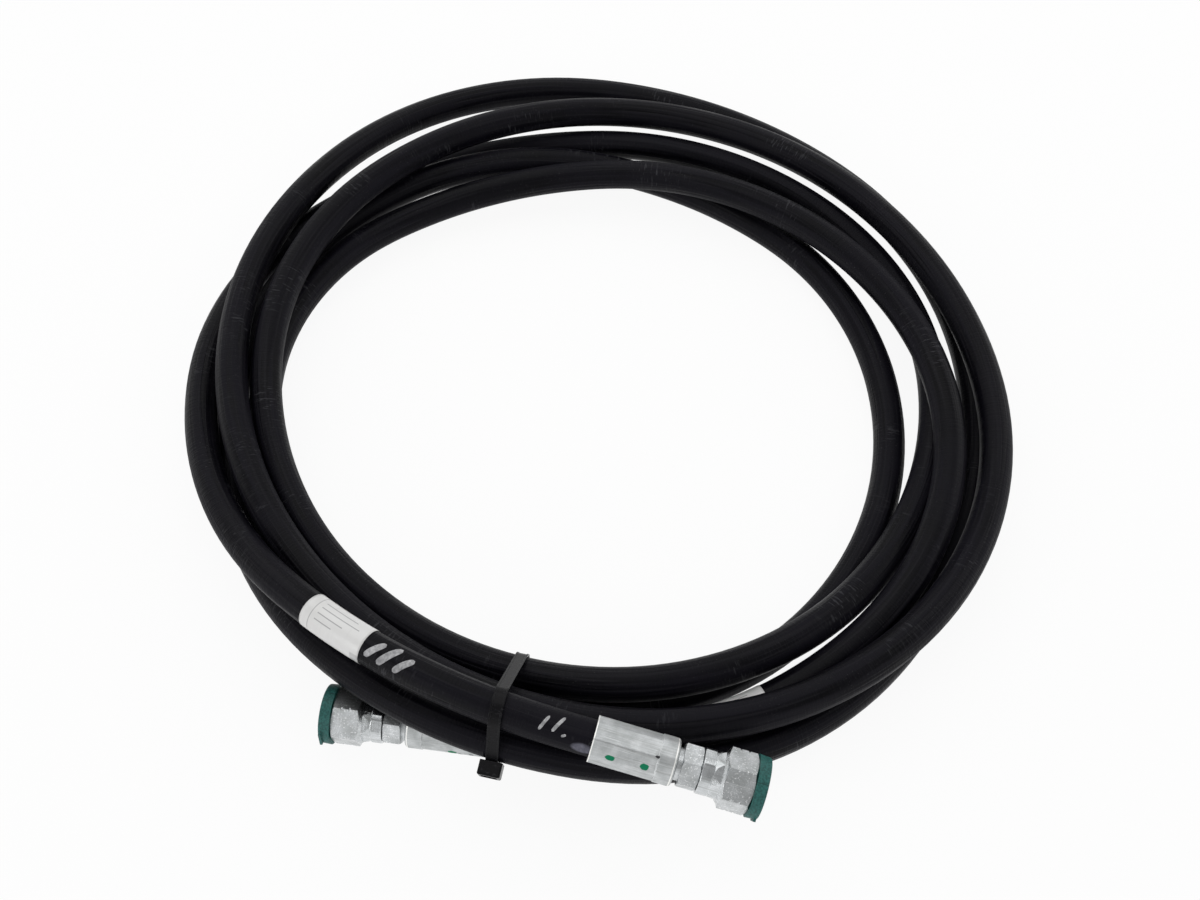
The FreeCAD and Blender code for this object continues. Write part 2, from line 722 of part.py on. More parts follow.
def make_insert(name):
    body = new_body(name)
    stem = STEM_RADIUS
    bore = INSERT_BORE
    flange = FERRULE_BORE - size("flange_gap")
    collar = LOCK_RADIUS + size("collar_step")
    neck = size("neck_outer") / 2
    slope = SHOULDER_RADIUS - neck
    narrowing = size("nose_length") * math.tan(math.radians(VALUE["nose_half_angle"]))
    turned(body, "turned_bar", [
        (bore, size("stem_start")),
        (stem - size("stem_taper"), size("stem_start")),
        (stem, size("stem_start") + size("stem_taper")),
        (stem, FLANGE_START),
        (flange, FLANGE_START),
        (flange, FLANGE_END),
        (LOCK_RADIUS, FLANGE_END),
        (LOCK_RADIUS, COLLAR_START),
        (collar, COLLAR_START),
        (collar, HEX_END),
        (neck, HEX_END),
        (neck, SHOULDER_START),
        (SHOULDER_RADIUS, SHOULDER_START + slope),
        (SHOULDER_RADIUS, SHOULDER_END),
        (NOSE_RADIUS, SHOULDER_END),
        (NOSE_RADIUS - narrowing, NOSE_END),
        (bore, NOSE_END),
    ])

    # The hexagon is drilled again, because its outline covers the bore
    hexagon(body, "hexagon", size("hex_flats"), HEX_START, size("hex_length"))
    turned_cut(body, "bore", [
        (ZERO, HEX_START - PAST),
        (bore, HEX_START - PAST),
        (bore, HEX_END + PAST),
        (ZERO, HEX_END + PAST),
    ])
    bevel_start = size("hex_flats") / 2 + size("hex_corner_break")
    bevel_corners(body, "front_bevel", size("hex_flats"), bevel_start, HEX_END, 1)
    bevel_corners(body, "rear_bevel", size("hex_flats"), bevel_start, HEX_START, -1)

    ring_start = SHOULDER_END + size("ring_from_nose")
    ring_end = ring_start + size("ring_groove")
    turned_cut(body, "ring_groove", [
        (RING_SEAT, ring_start),
        (NOSE_RADIUS + PAST, ring_start),
        (NOSE_RADIUS + PAST, ring_end),
        (RING_SEAT, ring_end),
    ])

    # One barb is a saw tooth cut; the rest repeat it along the stem
    barb_start = size("stem_start") + size("barb_pitch") / 2
    barb = turned_cut(body, "barb", [
        (stem - size("barb_depth"), barb_start),
        (stem + size("barb_depth"), barb_start),
        (stem + size("barb_depth"), barb_start + size("barb_pitch")),
        (stem, barb_start + size("barb_pitch") - size("barb_land")),
    ])
    once = body.Shape.Volume
    rows = body.newObject("PartDesign::LinearPattern", body.Name + "_barbs")
    rows.Originals = [barb]
    rows.Direction = (barb.Profile[0], ["V_Axis"])
    bind(rows, "Length", size("barb_pitch") * (size("barb_count") - 1))
    bind_count(rows, "barb_count")
    body.Tip = rows
    doc.recompute()
    require_cut(body, once, "barbs")
    return body


# The O-ring in the groove of the cone


def make_o_ring(name):
    ring = doc.addObject("Part::Torus", name)
    ring.Label = name
    slack = size("seat_gap") / 2
    bind(ring, "Radius1", RING_SEAT + size("ring_cord") / 2 + slack)
    bind(ring, "Radius2", size("ring_cord") / 2)
    return ring


def ring_height():
    """Middle of the O-ring groove along the fitting."""
    start = SHOULDER_END + size("ring_from_nose")
    return float(start + size("ring_groove") / 2)


# The swivel nut: swaged collar, round neck, hexagon and a threaded bore


def make_nut(name):
    body = new_body(name)
    flat = size("nut_flats") / 2
    collar = NUT_CAVITY + size("nut_collar_wall")
    waist = NUT_CAVITY + size("nut_waist_wall")
    flare = NUT_CAVITY + size("nut_flare_wall")
    collar_end = NUT_START + size("nut_collar_length")
    hex_start = NUT_START + size("nut_neck_length")
    flare_end = hex_start - size("nut_flare_length")
    turned(body, "round_neck", [
        (ZERO, NUT_START),
        (collar - size("nut_edge"), NUT_START),
        (collar, NUT_START + size("nut_edge")),
        (collar, collar_end),
        (waist, collar_end + (collar - waist)),
        (flare, flare_end),
        (flat, hex_start),
        (flat, hex_start + PAST),
        (ZERO, hex_start + PAST),
    ])
    hexagon(body, "hexagon", size("nut_flats"), hex_start, NUT_END - hex_start)
    bevel_corners(body, "front_bevel", size("nut_flats"), flat, NUT_END, 1)
    bevel_corners(body, "rear_bevel", size("nut_flats"), flat, hex_start, -1)
    flats_round(body, "swage", "swage_flats", collar, size("swage_depth"), NUT_START,
                size("nut_neck_length") - size("nut_flare_length"))

    lip = size("neck_outer") / 2 + size("swivel_gap")
    lip_end = NUT_START + size("nut_lip_length")
    thread_start = NUT_END - size("thread_length")
    mouth = THREAD_RADIUS + size("thread_chamfer")
    turned_cut(body, "inside", [
        (ZERO, NUT_START - PAST),
        (lip, NUT_START - PAST),
        (lip, lip_end),
        (NUT_CAVITY, lip_end + (NUT_CAVITY - lip)),
        (NUT_CAVITY, thread_start - (THREAD_RADIUS - NUT_CAVITY)),
        (THREAD_RADIUS, thread_start),
        (THREAD_RADIUS, NUT_END - size("thread_chamfer")),
        (mouth, NUT_END),
        (mouth, NUT_END + PAST),
        (ZERO, NUT_END + PAST),
    ])

    # The notches are turned grooves so shallow that they touch only the corners of the hexagon
    middle = (hex_start + NUT_END) / 2
    spread = size("notch_pitch") * (size("notch_count") - 1)
    first = middle - spread / 2 - size("notch_width") / 2
    bottom = NUT_CORNER - size("notch_depth")
    notch = turned_cut(body, "notch", [
        (bottom, first),
        (NUT_CORNER + PAST, first),
        (NUT_CORNER + PAST, first + size("notch_width")),
        (bottom, first + size("notch_width")),
    ])
    once = body.Shape.Volume
    row = body.newObject("PartDesign::LinearPattern", body.Name + "_notches")
    row.Originals = [notch]
    row.Direction = (notch.Profile[0], ["V_Axis"])
    bind(row, "Length", spread)
    bind_count(row, "notch_count")
    body.Tip = row
    doc.recompute()
    require_cut(body, once, "notches")
    return body


# The dust plug: a shallow disc with a hollow shank and a pull lip


def make_plug(name):
    body = new_body(name)
    shank = THREAD_RADIUS - size("plug_gap")
    hollow = shank - size("plug_wall")
    disc_start = NUT_END + size("plug_gap")
    disc_end = disc_start + size("plug_thickness")
    face_radius = PLUG_RADIUS - size("plug_draft")
    tip = disc_start - size("plug_shank_length")
    face = disc_end - size("plug_web")
    turned(body, "cup", [
        (ZERO, face),
        (hollow, face),
        (hollow, tip),
        (shank - size("plug_tip"), tip),
        (shank, tip + size("plug_tip")),
        (shank, disc_start),
        (PLUG_RADIUS, disc_start),
        (face_radius, disc_end),
        (ZERO, disc_end),
    ])
    round_edge(body, "face_edge", face_radius, disc_end, "plug_round")
    half_root = size("tab_width") / 2
    half_tip = half_root - size("tab_reach")
    root = PLUG_RADIUS - size("tab_reach") * 2
    reach = PLUG_RADIUS + size("tab_reach")
    sketch = outline(body, "tab_outline", "XY_Plane", [
        (root, half_root * -1),
        (reach, half_tip * -1),
        (reach, half_tip),
        (root, half_root),
    ], disc_end - size("plug_round") - size("tab_thickness"))
    tab = body.newObject("PartDesign::Pad", body.Name + "_tab")
    tab.Profile = sketch
    bind(tab, "Length", size("tab_thickness"))
    doc.recompute()
    return body


def fitting_stand(mouth, outward, turn):
    """Placement that stands a piece at its ferrule mouth, pointing outward along the hose."""
    return Placement(mouth, Rotation(Vector(0, 0, 1), outward).multiply(Rotation(Vector(0, 0, 1), turn)))


def make_fitting(end, mouth, outward):
    """The five pieces of one end of the hose, all placed on the same line."""
    pieces = []
    for make, kind in ((make_ferrule, "ferrule_"), (make_insert, "insert_"), (make_nut, "swivel_nut_"),
                       (make_plug, "plug_")):
        body = make(kind + end)
        body.Placement = fitting_stand(mouth, outward, VALUE[kind + end + "_turn"])
        pieces.append(body)
    ring = make_o_ring("o_ring_" + end)
    along = Placement(Vector(0, 0, ring_height()), Rotation())
    ring.Placement = fitting_stand(mouth, outward, 0).multiply(along)
    pieces.append(ring)
    print("fitting %s mouth %.3f %.3f %.3f" % (end, *mouth))
    print("fitting %s outward %.6f %.6f %.6f" % (end, *outward))
    return pieces


grip = VALUE["hose_grip"]
start_place, start_heading = route_place(RUNS, grip)
end_place, end_heading = route_place(RUNS, LENGTH - grip)
end_run = VALUE["hose_outer"] + grip

nodes = [make_hose()]
nodes += make_fitting("a", start_place, start_heading * -1)
nodes += make_fitting("b", end_place, end_heading)
nodes.append(make_label("label_a", end_run + VALUE["label_a_place"]))
nodes.append(make_label("label_b", LENGTH - end_run - VALUE["label_b_place"] - VALUE["label_length"]))
nodes.append(make_tie())
doc.recompute()

for thing in doc.Objects:
    if "Invalid" in thing.State or "Error" in thing.State:
        raise RuntimeError("%s failed: %s" % (thing.Name, thing.State))
for node in nodes:
    if node.Shape.isNull() or not node.Shape.isValid():
        raise RuntimeError("%s has no valid shape" % node.Label)

os.makedirs("parts", exist_ok=True)
for node in nodes:
    node.Shape.exportStep("parts/%s.step" % node.Label)
    print("%s: %d solids, %.0f mm3" % (node.Label, len(node.Shape.Solids), node.Shape.Volume))

whole = FreeCAD.BoundBox()
for node in nodes:
    whole.add(node.Shape.BoundBox)
print("whole box %.2f %.2f %.2f to %.2f %.2f %.2f" % (
    whole.XMin, whole.YMin, whole.ZMin, whole.XMax, whole.YMax, whole.ZMax))
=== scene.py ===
# %% [markdown]
# # A coiled hydraulic hose assembly
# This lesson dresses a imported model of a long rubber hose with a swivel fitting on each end. The model is already
# the right size and in the right place, so every step here only makes surfaces and finishes that lie on it.

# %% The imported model
import math

import bpy
import numpy as np
from mathutils import Matrix, Vector


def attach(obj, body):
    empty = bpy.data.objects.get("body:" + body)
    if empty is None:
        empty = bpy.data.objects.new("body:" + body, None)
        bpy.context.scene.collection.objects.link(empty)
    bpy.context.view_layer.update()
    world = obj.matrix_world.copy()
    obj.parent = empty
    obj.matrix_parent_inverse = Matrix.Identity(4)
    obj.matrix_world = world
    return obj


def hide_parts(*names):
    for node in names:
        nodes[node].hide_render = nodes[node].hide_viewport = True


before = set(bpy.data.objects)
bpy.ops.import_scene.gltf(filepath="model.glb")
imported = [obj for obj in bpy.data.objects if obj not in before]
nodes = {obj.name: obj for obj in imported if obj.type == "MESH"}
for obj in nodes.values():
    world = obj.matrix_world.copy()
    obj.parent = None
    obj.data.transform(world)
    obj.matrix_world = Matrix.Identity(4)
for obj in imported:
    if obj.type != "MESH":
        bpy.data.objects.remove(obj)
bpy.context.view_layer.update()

scene = bpy.context.scene
print("nodes:", sorted(nodes))

# %% [markdown]
# ## The camera
# The photograph looks down on the coil at 60 degrees below level. The picture is taken to be 1200 by 900 pixels, and
# the focal length was worked out from how the far side of the coil shrinks against the near side.

# %% The camera's place and lens
IMAGE_WIDTH = 1200
FOCAL_PIXELS = 1300
SENSOR_MM = 36
PITCH = math.radians(60)
CAMERA_DISTANCE = 0.930
COIL_CENTRE = np.array([0.00494, 0.01422, 0.0])
AIM_NEARER = 0.051
AIM = Vector((COIL_CENTRE[0], COIL_CENTRE[1] - AIM_NEARER, 0.0))

camera_data = bpy.data.cameras.new("camera")
camera_data.sensor_width = SENSOR_MM
camera_data.lens = FOCAL_PIXELS * SENSOR_MM / IMAGE_WIDTH
camera = bpy.data.objects.new("camera", camera_data)
scene.collection.objects.link(camera)
looking = Vector((0.0, math.cos(PITCH), -math.sin(PITCH)))
camera.location = AIM - looking * CAMERA_DISTANCE
camera.rotation_euler = (math.pi / 2 - PITCH, 0.0, 0.0)
scene.camera = camera
print("camera at", tuple(round(v, 4) for v in camera.location), "lens", camera_data.lens)

# %% [markdown]
# ## The route of the hose
# The coil is loose: each of its five turns has another size and height. A plain spiral formula would look too neat,
# so the turns are held at one station per quarter turn, and every quarter is two arcs that meet smoothly. Each
# station gives degrees of travel from the front, distance out, rise, drift outwards and climb, the last four in hose
# diameters. The two end heights follow from the nuts: the lower nut's corner clears the floor by its gap, the upper
# nut's clears two diameters of hose by its own. A loop walks the arcs and turns them into one spline's points.

# %% Stations of the five turns
HOSE_DIAMETER = 0.022
HOSE_RADIUS = HOSE_DIAMETER / 2
COIL_RADIUS = 0.250
FLOOR_FLAT = 0.0005
NUT_ACROSS_FLATS = 0.032
LOWER_NUT_GAP = 0.00023
UPPER_NUT_GAP = 0.0063
NUT_CORNER = NUT_ACROSS_FLATS / 2 / math.cos(math.radians(30))
FIRST_HEIGHT = NUT_CORNER + LOWER_NUT_GAP
LAST_HEIGHT = 2 * HOSE_DIAMETER + NUT_CORNER + UPPER_NUT_GAP
ON_FLOOR = HOSE_RADIUS - FLOOR_FLAT
FIRST_RISE = (FIRST_HEIGHT - ON_FLOOR) / HOSE_DIAMETER
LAST_RISE = (LAST_HEIGHT - ON_FLOOR) / HOSE_DIAMETER

STATIONS = (
    (-10, 1.05, FIRST_RISE, -0.7, 0.0),
    (90, -0.70, 1.30, -3.8, -0.8),
    (180, -3.15, 0.90, 0.1, -1.0),
    (270, -0.40, 0.15, 0.6, -0.9),
    (360, -0.10, 0.10, -0.9, -0.2),
    (450, -2.10, 0.10, -1.9, 0.4),
    (540, -2.25, 0.30, 2.0, 1.8),
    (630, 0.65, 0.00, 0.7, 0.1),
    (720, 1.80, 1.30, 1.3, -3.7),
    (810, 0.95, 0.00, 0.1, 0.0),
    (900, 1.70, 0.05, 2.7, 0.2),
    (990, 0.45, 1.50, -1.9, 0.7),
    (1080, 0.80, 1.60, 2.6, 0.7),
    (1170, 1.00, 1.05, -2.8, 0.1),
    (1260, -0.25, 1.05, -1.7, 1.9),
    (1350, -0.60, 1.20, -0.7, -1.4),
    (1440, -0.50, 1.10, 1.0, 0.9),
    (1530, -0.40, 0.15, 0.6, -1.2),
    (1620, -1.05, 0.20, 0.7, -0.8),
    (1710, 1.55, 0.60, -0.8, 2.4),
    (1794.8, 1.30, LAST_RISE, 3.4, -2.2),
)


def unit(vectors):
    """Each vector divided by its own length."""
    return vectors / np.linalg.norm(vectors, axis=-1, keepdims=True)


def station_point(travel, out, rise, drift, climb):
    """Place: radius and height round the coil's centre. Heading: the rate of change of both round the coil."""
    angle = math.radians(travel - 90)
    radius = COIL_RADIUS + out * HOSE_DIAMETER
    per_radian = HOSE_DIAMETER / (math.pi / 2)
    outward = np.array([math.cos(angle), math.sin(angle), 0.0])
    forward = np.array([-math.sin(angle), math.cos(angle), 0.0])
    up = np.array([0.0, 0.0, 1.0])
    place = COIL_CENTRE + outward * radius + up * (ON_FLOOR + rise * HOSE_DIAMETER)
    heading = outward * drift * per_radian + forward * radius + up * climb * per_radian
    return place, unit(heading)


stations = [station_point(*row) for row in STATIONS]
print(len(stations), "stations")


# %% From stations to the spline's points
POINTS_PER_ARC = 7


def arc_points(start, heading, end, count):
    """Points of the arc that leaves start along heading and passes end; its radius is chord squared over twice
    the chord's sideways part, and its turn is twice the angle between heading and chord. The end is left out."""
    chord = end - start
    side = chord - heading * (chord @ heading)
    sideways = np.linalg.norm(side)
    radius = (chord @ chord) / (2 * sideways)
    turn = 2 * math.atan2(sideways, chord @ heading)
    angles = turn * np.arange(count)[:, None] / count
    inward = side / sideways
    return start + radius * (np.sin(angles) * heading + (1 - np.cos(angles)) * inward)


def quarter_points(start, heading, end, end_heading):
    """Two arcs from station to station: both ends reach equally far along their headings to the meeting point."""
    chord = end - start
    bend = 2 * (1 - heading @ end_heading)
    along = chord @ (heading + end_heading)
    reach = (math.sqrt(along * along + bend * (chord @ chord)) - along) / bend
    meeting = (start + heading * reach + end - end_heading * reach) / 2
    half = unit(meeting - start)
    meeting_heading = 2 * (half @ heading) * half - heading
    return np.vstack([
        arc_points(start, heading, meeting, POINTS_PER_ARC),
        arc_points(meeting, meeting_heading, end, POINTS_PER_ARC),
    ])


# The visible hose starts a little way inside each ferrule
INSIDE_FERRULE = 0.020
END_POINTS = 4
end_run = HOSE_DIAMETER + INSIDE_FERRULE
end_steps = np.arange(1, END_POINTS + 1)[:, None] / END_POINTS * end_run
first_place, first_heading = stations[0]
last_place, last_heading = stations[-1]
rows = [first_place - first_heading * end_steps[::-1]]
for (start, heading), (end, end_heading) in zip(stations[:-1], stations[1:]):
    rows.append(quarter_points(start, heading, end, end_heading))
rows.append(last_place[None, :])
rows.append(last_place + last_heading * end_steps)
through = np.vstack(rows)

# A spline of order 3 passes inside its points by an eighth of the bend at each, so each is pushed out by as much
control = through.copy()
control[1:-1] -= (through[:-2] - 2 * through[1:-1] + through[2:]) / 8
print(len(control), "points on the spline")

# %% The spline and the line that it draws
route_curve = bpy.data.curves.new("hose_route", "CURVE")
route_curve.dimensions = "3D"
spline = route_curve.splines.new("NURBS")
spline.points.add(len(control) - 1)
spline.points.foreach_set("co", np.column_stack([control, np.ones(len(control))]).ravel())
spline.order_u = 3
spline.use_endpoint_u = True
spline.resolution_u = 3
route_object = bpy.data.objects.new("hose_route", route_curve)
scene.collection.objects.link(route_object)
route_mesh = bpy.data.meshes.new_from_object(route_object)
line = np.empty(len(route_mesh.vertices) * 3)
route_mesh.vertices.foreach_get("co", line)
line = line.reshape(-1, 3)
bpy.data.objects.remove(route_object)
line_distance = np.r_[0.0, np.cumsum(np.linalg.norm(np.diff(line, axis=0), axis=1))]
print("line of", len(line), "points,", round(float(line_distance[-1]), 4), "m")


# %% [markdown]
# ## Surfaces along the hose
# The hose, its labels and the marks on it are all surfaces over two numbers: the distance along the hose and the
# angle round it. One function turns such a grid into places, so everything that lies on the hose follows its bends.
# Each surface also keeps where it would be on a straight hose, which gives its finish a seamless pattern.

# %% Placing a grid on the hose
line_heading = unit(np.gradient(line, line_distance, axis=0))
UP = np.array([0.0, 0.0, 1.0])


def on_hose(along, around, radius):
    """Place at a distance along the hose and an angle round it: 0 faces out of the coil, a quarter turn is the top.
    Place = line + radius * (cos(around) * outward + sin(around) * upward), and never under the floor."""
    middle = np.stack([np.interp(along, line_distance, line[:, axis]) for axis in range(3)], axis=-1)
    heading = unit(np.stack([np.interp(along, line_distance, line_heading[:, axis]) for axis in range(3)], axis=-1))
    outward = unit(np.cross(heading, UP))
    upward = np.cross(outward, heading)
    place = middle + radius[..., None] * (np.cos(around)[..., None] * outward + np.sin(around)[..., None] * upward)
    place[..., 2] = np.maximum(place[..., 2], 0.0)
    return place


def grid_faces(rings, ring_points):
    """Quads between one ring of points and the next; each ring's last point is joined to its first."""
    index = np.arange(rings * ring_points).reshape(rings, ring_points)
    following = np.roll(index, -1, axis=1)
    quads = np.stack([index[:-1], index[1:], following[1:], following[:-1]], axis=-1)
    return quads.reshape(-1, 4)


def end_faces(points, ring_points):
    """The two faces that close a tube of so many points: its first ring, and its last one turned over."""
    return [list(range(ring_points)), list(range(points - ring_points, points))[::-1]]


def add_piece(name, places, faces, straight):
    """A mesh object at the origin, with its place on a straight hose kept as the attribute straight."""
    mesh = bpy.data.meshes.new(name)
    mesh.from_pydata(places.tolist(), [], faces)
    mesh.update()
    mesh.polygons.foreach_set("use_smooth", [True] * len(mesh.polygons))
    kept = mesh.attributes.new("straight", "FLOAT_VECTOR", "POINT")
    kept.data.foreach_set("vector", np.ascontiguousarray(straight, dtype=np.float32).ravel())
    piece = bpy.data.objects.new(name, mesh)
    scene.collection.objects.link(piece)
    return piece


def straight_place(along, around, radius):
    """Where the same point lies on a straight hose: x along it, y and z across it."""
    return np.stack([along, radius * np.cos(around), radius * np.sin(around)], axis=-1)


print("the hose's line runs from", line[0].round(4), "to", line[-1].round(4))

# %% [markdown]
# ## The hose
# The hose is one rubber tube about eight metres long. A curve with a round bevel would give its shape, but a grid
# gives more: the side that lies on the floor is pressed flat, and the skin can carry its own coordinates.

# %% The hose's skin
SKIN_POINTS = 56
skin_angles = np.linspace(0, 2 * np.pi, SKIN_POINTS, endpoint=False) - np.pi / 2
along, around = np.meshgrid(line_distance, skin_angles, indexing="ij")
radius = np.full(along.shape, HOSE_RADIUS)
places = on_hose(along, around, radius).reshape(-1, 3)
straight = straight_place(along, around, radius).reshape(-1, 3)
faces = grid_faces(len(line), SKIN_POINTS).tolist() + end_faces(len(places), SKIN_POINTS)
hose = add_piece("hose_cover", places, faces, straight)
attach(hose, "hose_body")
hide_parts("hose")
print("hose skin of", len(places), "points")

# %% [markdown]
# ## Things laid on the hose
# A label is a thin white film that is wrapped round the hose until it overlaps itself, and the pale bars beside the
# upper one are paint from a pen. Both could be part of the rubber's finish, but real ones have a thickness and an
# edge, so each is a thin surface of its own over the same two numbers: distance along the hose and angle round it.

# %% Closing a thin surface


def outward_faces(places, faces):
    """The faces, turned over if the volume that they enclose is negative. Volume = the sum over the quads of
    a . (b x c) + a . (c x d), over six."""
    corners = places[np.asarray([face for face in faces if len(face) == 4])]
    a, b, c, d = corners.transpose(1, 0, 2)
    a, b, c, d = (point - places.mean(axis=0) for point in (a, b, c, d))
    volume = (a * np.cross(b, c)).sum() + (a * np.cross(c, d)).sum()
    return faces if volume > 0 else [face[::-1] for face in faces]


# %% Labels
LABEL_FILM = 0.00010
LABEL_SEAT = 0.00012
LABEL_TURN = math.radians(385)
FILMS_PER_TURN = 1.15


def wrapped_label(name, start, length, begin):
    """A spiral sheet with a thickness. Place = on the hose at start + u * length and begin + v * turn. The radius
    grows by a little more than a film's thickness in each full turn, so the overlap clears what lies under it, and
    the film's two faces are joined along its edges."""
    u_count, v_count = 28, 72
    u = np.linspace(0, 1, u_count)[:, None]
    v = np.r_[np.linspace(0, 1, v_count), np.linspace(1, 0, v_count)][None, :]
    upper = np.r_[np.ones(v_count), np.zeros(v_count)][None, :]
    along = start + u * length + 0 * v
    around = math.radians(begin) + v * LABEL_TURN + 0 * u
    lift = LABEL_SEAT + LABEL_FILM * (v * LABEL_TURN / (2 * math.pi) * FILMS_PER_TURN + upper)
    radius = HOSE_RADIUS + lift + 0 * u
    places = on_hose(along, around, radius).reshape(-1, 3)
    faces = grid_faces(u_count, 2 * v_count).tolist()
    first = np.arange(v_count - 1)
    cap = np.stack([first, first + 1, 2 * v_count - 2 - first, 2 * v_count - 1 - first], axis=-1)
    last = cap + (u_count - 1) * 2 * v_count
    faces += cap.tolist() + last[:, ::-1].tolist()
    straight = straight_place(along, around, radius).reshape(-1, 3)
    label = add_piece(name, places, outward_faces(places, faces), straight)
    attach(label, "hose_body")
    return label


LABEL_LENGTH = 0.0465
LABEL_A_START = 0.1505
LABEL_B_START = 7.7382
label_film_a = wrapped_label("label_film_a", LABEL_A_START, LABEL_LENGTH, 150)
label_film_b = wrapped_label("label_film_b", LABEL_B_START, LABEL_LENGTH, -165)
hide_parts("label_a")
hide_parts("label_b")
print("labels of", len(label_film_a.data.vertices), "points each")

# %% Strokes of a paint pen
PAINT_HEIGHT = 0.00014
STROKE_TIP = 0.00005
STEPS_PER_SPAN = 9
RING_POINTS = 12


def smooth_line(points):
    """A curve through every point: between two points it is the cubic whose slope at each is half the step
    between that point's neighbours."""
    ends = np.vstack([2 * points[0] - points[1], points, 2 * points[-1] - points[-2]])
    t = np.linspace(0, 1, STEPS_PER_SPAN, endpoint=False)[:, None]
    spans = [
        0.5 * (2 * b + (c - a) * t + (2 * a - 5 * b + 4 * c - d) * t ** 2 + (3 * b - a - 3 * c + d) * t ** 3)
        for a, b, c, d in zip(ends[:-3], ends[1:-2], ends[2:-1], ends[3:])
    ]
    return np.vstack(spans + [points[-1:]])


def pen_stroke(name, marks, width):
    """A flattened tube along a curve drawn on the hose. Each ring is a low ellipse across the stroke: sideways it
    reaches half the width, which narrows to a fine tip at both ends as (1 - |2t - 1|^6)^0.5, and upwards the paint's
    height."""
    points = np.array([[along, math.radians(degrees) * HOSE_RADIUS] for along, degrees in marks])
    curve = smooth_line(points)
    ahead = unit(np.gradient(curve, axis=0))
    side = np.column_stack([-ahead[:, 1], ahead[:, 0]])
    t = np.linspace(0, 1, len(curve))
    half = width / 2 * np.sqrt(1 - np.abs(2 * t - 1) ** 6) + STROKE_TIP
    ring = np.linspace(0, 2 * np.pi, RING_POINTS, endpoint=False)
    across = half[:, None] * np.cos(ring)
    along = curve[:, :1] + side[:, :1] * across
    around = (curve[:, 1:] + side[:, 1:] * across) / HOSE_RADIUS
    radius = HOSE_RADIUS + PAINT_HEIGHT * np.sin(ring)[None, :] * np.ones_like(across)
    places = on_hose(along, around, radius).reshape(-1, 3)
    faces = grid_faces(len(curve), RING_POINTS).tolist() + end_faces(len(places), RING_POINTS)
    straight = straight_place(along, around, radius).reshape(-1, 3)
    stroke = add_piece(name, places, outward_faces(places, faces), straight)
    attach(stroke, "hose_body")
    return stroke


# Each stroke's width, and its marks: metres along the hose and degrees round it
STROKES = {
    "pen_bar_1": (0.0040, ((7.7885, 46), (7.7925, 78), (7.7975, 112))),
    "pen_bar_2": (0.0044, ((7.7975, 42), (7.8020, 80), (7.8078, 124))),
    "pen_bar_3": (0.0040, ((7.8085, 44), (7.8128, 76), (7.8180, 106))),
    "pen_slash_1": (0.0018, ((7.8992, 52), (7.9010, 76), (7.9032, 102))),
    "pen_slash_2": (0.0020, ((7.9068, 58), (7.9092, 84), (7.9122, 112))),
    "pen_dash": (0.0014, ((7.9125, 52), (7.9150, 60))),
}
strokes = [pen_stroke(name, marks, width) for name, (width, marks) in STROKES.items()]
print(len(strokes), "strokes of paint")

# %% [markdown]
# ## Finishes
# Every finish is worked out from the surface's own place, so it holds from any side. An effect that several finishes
# use is a node group of its own; the shader stays in each material.

# %% Materials and their nodes


def new_material(name):
    """A material, its tree of nodes and its shader."""
    material = bpy.data.materials.new(name)
    material.use_nodes = True
    return material, material.node_tree, material.node_tree.nodes["Principled BSDF"]


def add_node(tree, kind, inputs=None, **settings):
    """Adds a node, sets its properties, and sets or links its inputs by name or number."""
    node = tree.nodes.new(kind)
    for key, value in settings.items():
        setattr(node, key, value)
    for key, value in (inputs or {}).items():
        if isinstance(value, bpy.types.NodeSocket):
            tree.links.new(value, node.inputs[key])
        else:
            node.inputs[key].default_value = value
    return node


def feed(tree, shader, **values):
    """Links values to the shader's sockets; an underscore in a name stands for a space."""
    for key, value in values.items():
        tree.links.new(value, shader.inputs[key.replace("_", " ")])


def assign(material, *objects):
    """Gives objects this one material."""
    for thing in objects:
        thing.data.materials.clear()
        thing.data.materials.append(material)


# %% Values, colours and relief


def arithmetic(tree, operation, first, second=0.0):
    """One sum, product, difference or other step on two values."""
    return add_node(tree, "ShaderNodeMath", {0: first, 1: second}, operation=operation).outputs[0]


def scaled(tree, value, factor):
    """A value times a factor, which may come from another node."""
    return arithmetic(tree, "MULTIPLY", value, factor)


def weighted_sum(tree, *terms):
    """The sum of values, each times its own weight."""
    total = None
    for value, weight in terms:
        part = scaled(tree, value, weight)
        total = part if total is None else arithmetic(tree, "ADD", total, part)
    return total


def remap(tree, value, low, high, to_low=0.0, to_high=1.0):
    """The value's range from low to high, stretched to another range and held at its ends."""
    return add_node(tree, "ShaderNodeMapRange", {
        "Value": value, "From Min": low, "From Max": high, "To Min": to_low, "To Max": to_high}).outputs["Result"]


def blend(tree, share, first, second):
    """A colour between two colours, or between colours that come from other nodes."""
    first, second = ((*c, 1.0) if isinstance(c, tuple) else c for c in (first, second))
    return add_node(tree, "ShaderNodeMix", {0: share, 6: first, 7: second}, data_type="RGBA").outputs[2]


def layer(tree, colour, mask, share, tone):
    """A tone laid over a colour where the mask is, as strongly as the share says."""
    return blend(tree, scaled(tree, mask, share), colour, tone)


def raised(tree, height, strength, distance, normal=None):
    """Which way a face points once its height, from 0 to 1 and times the distance in metres, stands out of it."""
    inputs = {"Height": height, "Strength": strength, "Distance": distance}
    if normal is not None:
        inputs["Normal"] = normal
    return add_node(tree, "ShaderNodeBump", inputs).outputs["Normal"]


def straight_coordinates(tree):
    """Where a point would be on a straight hose."""
    return add_node(tree, "ShaderNodeAttribute", attribute_name="straight").outputs["Vector"]
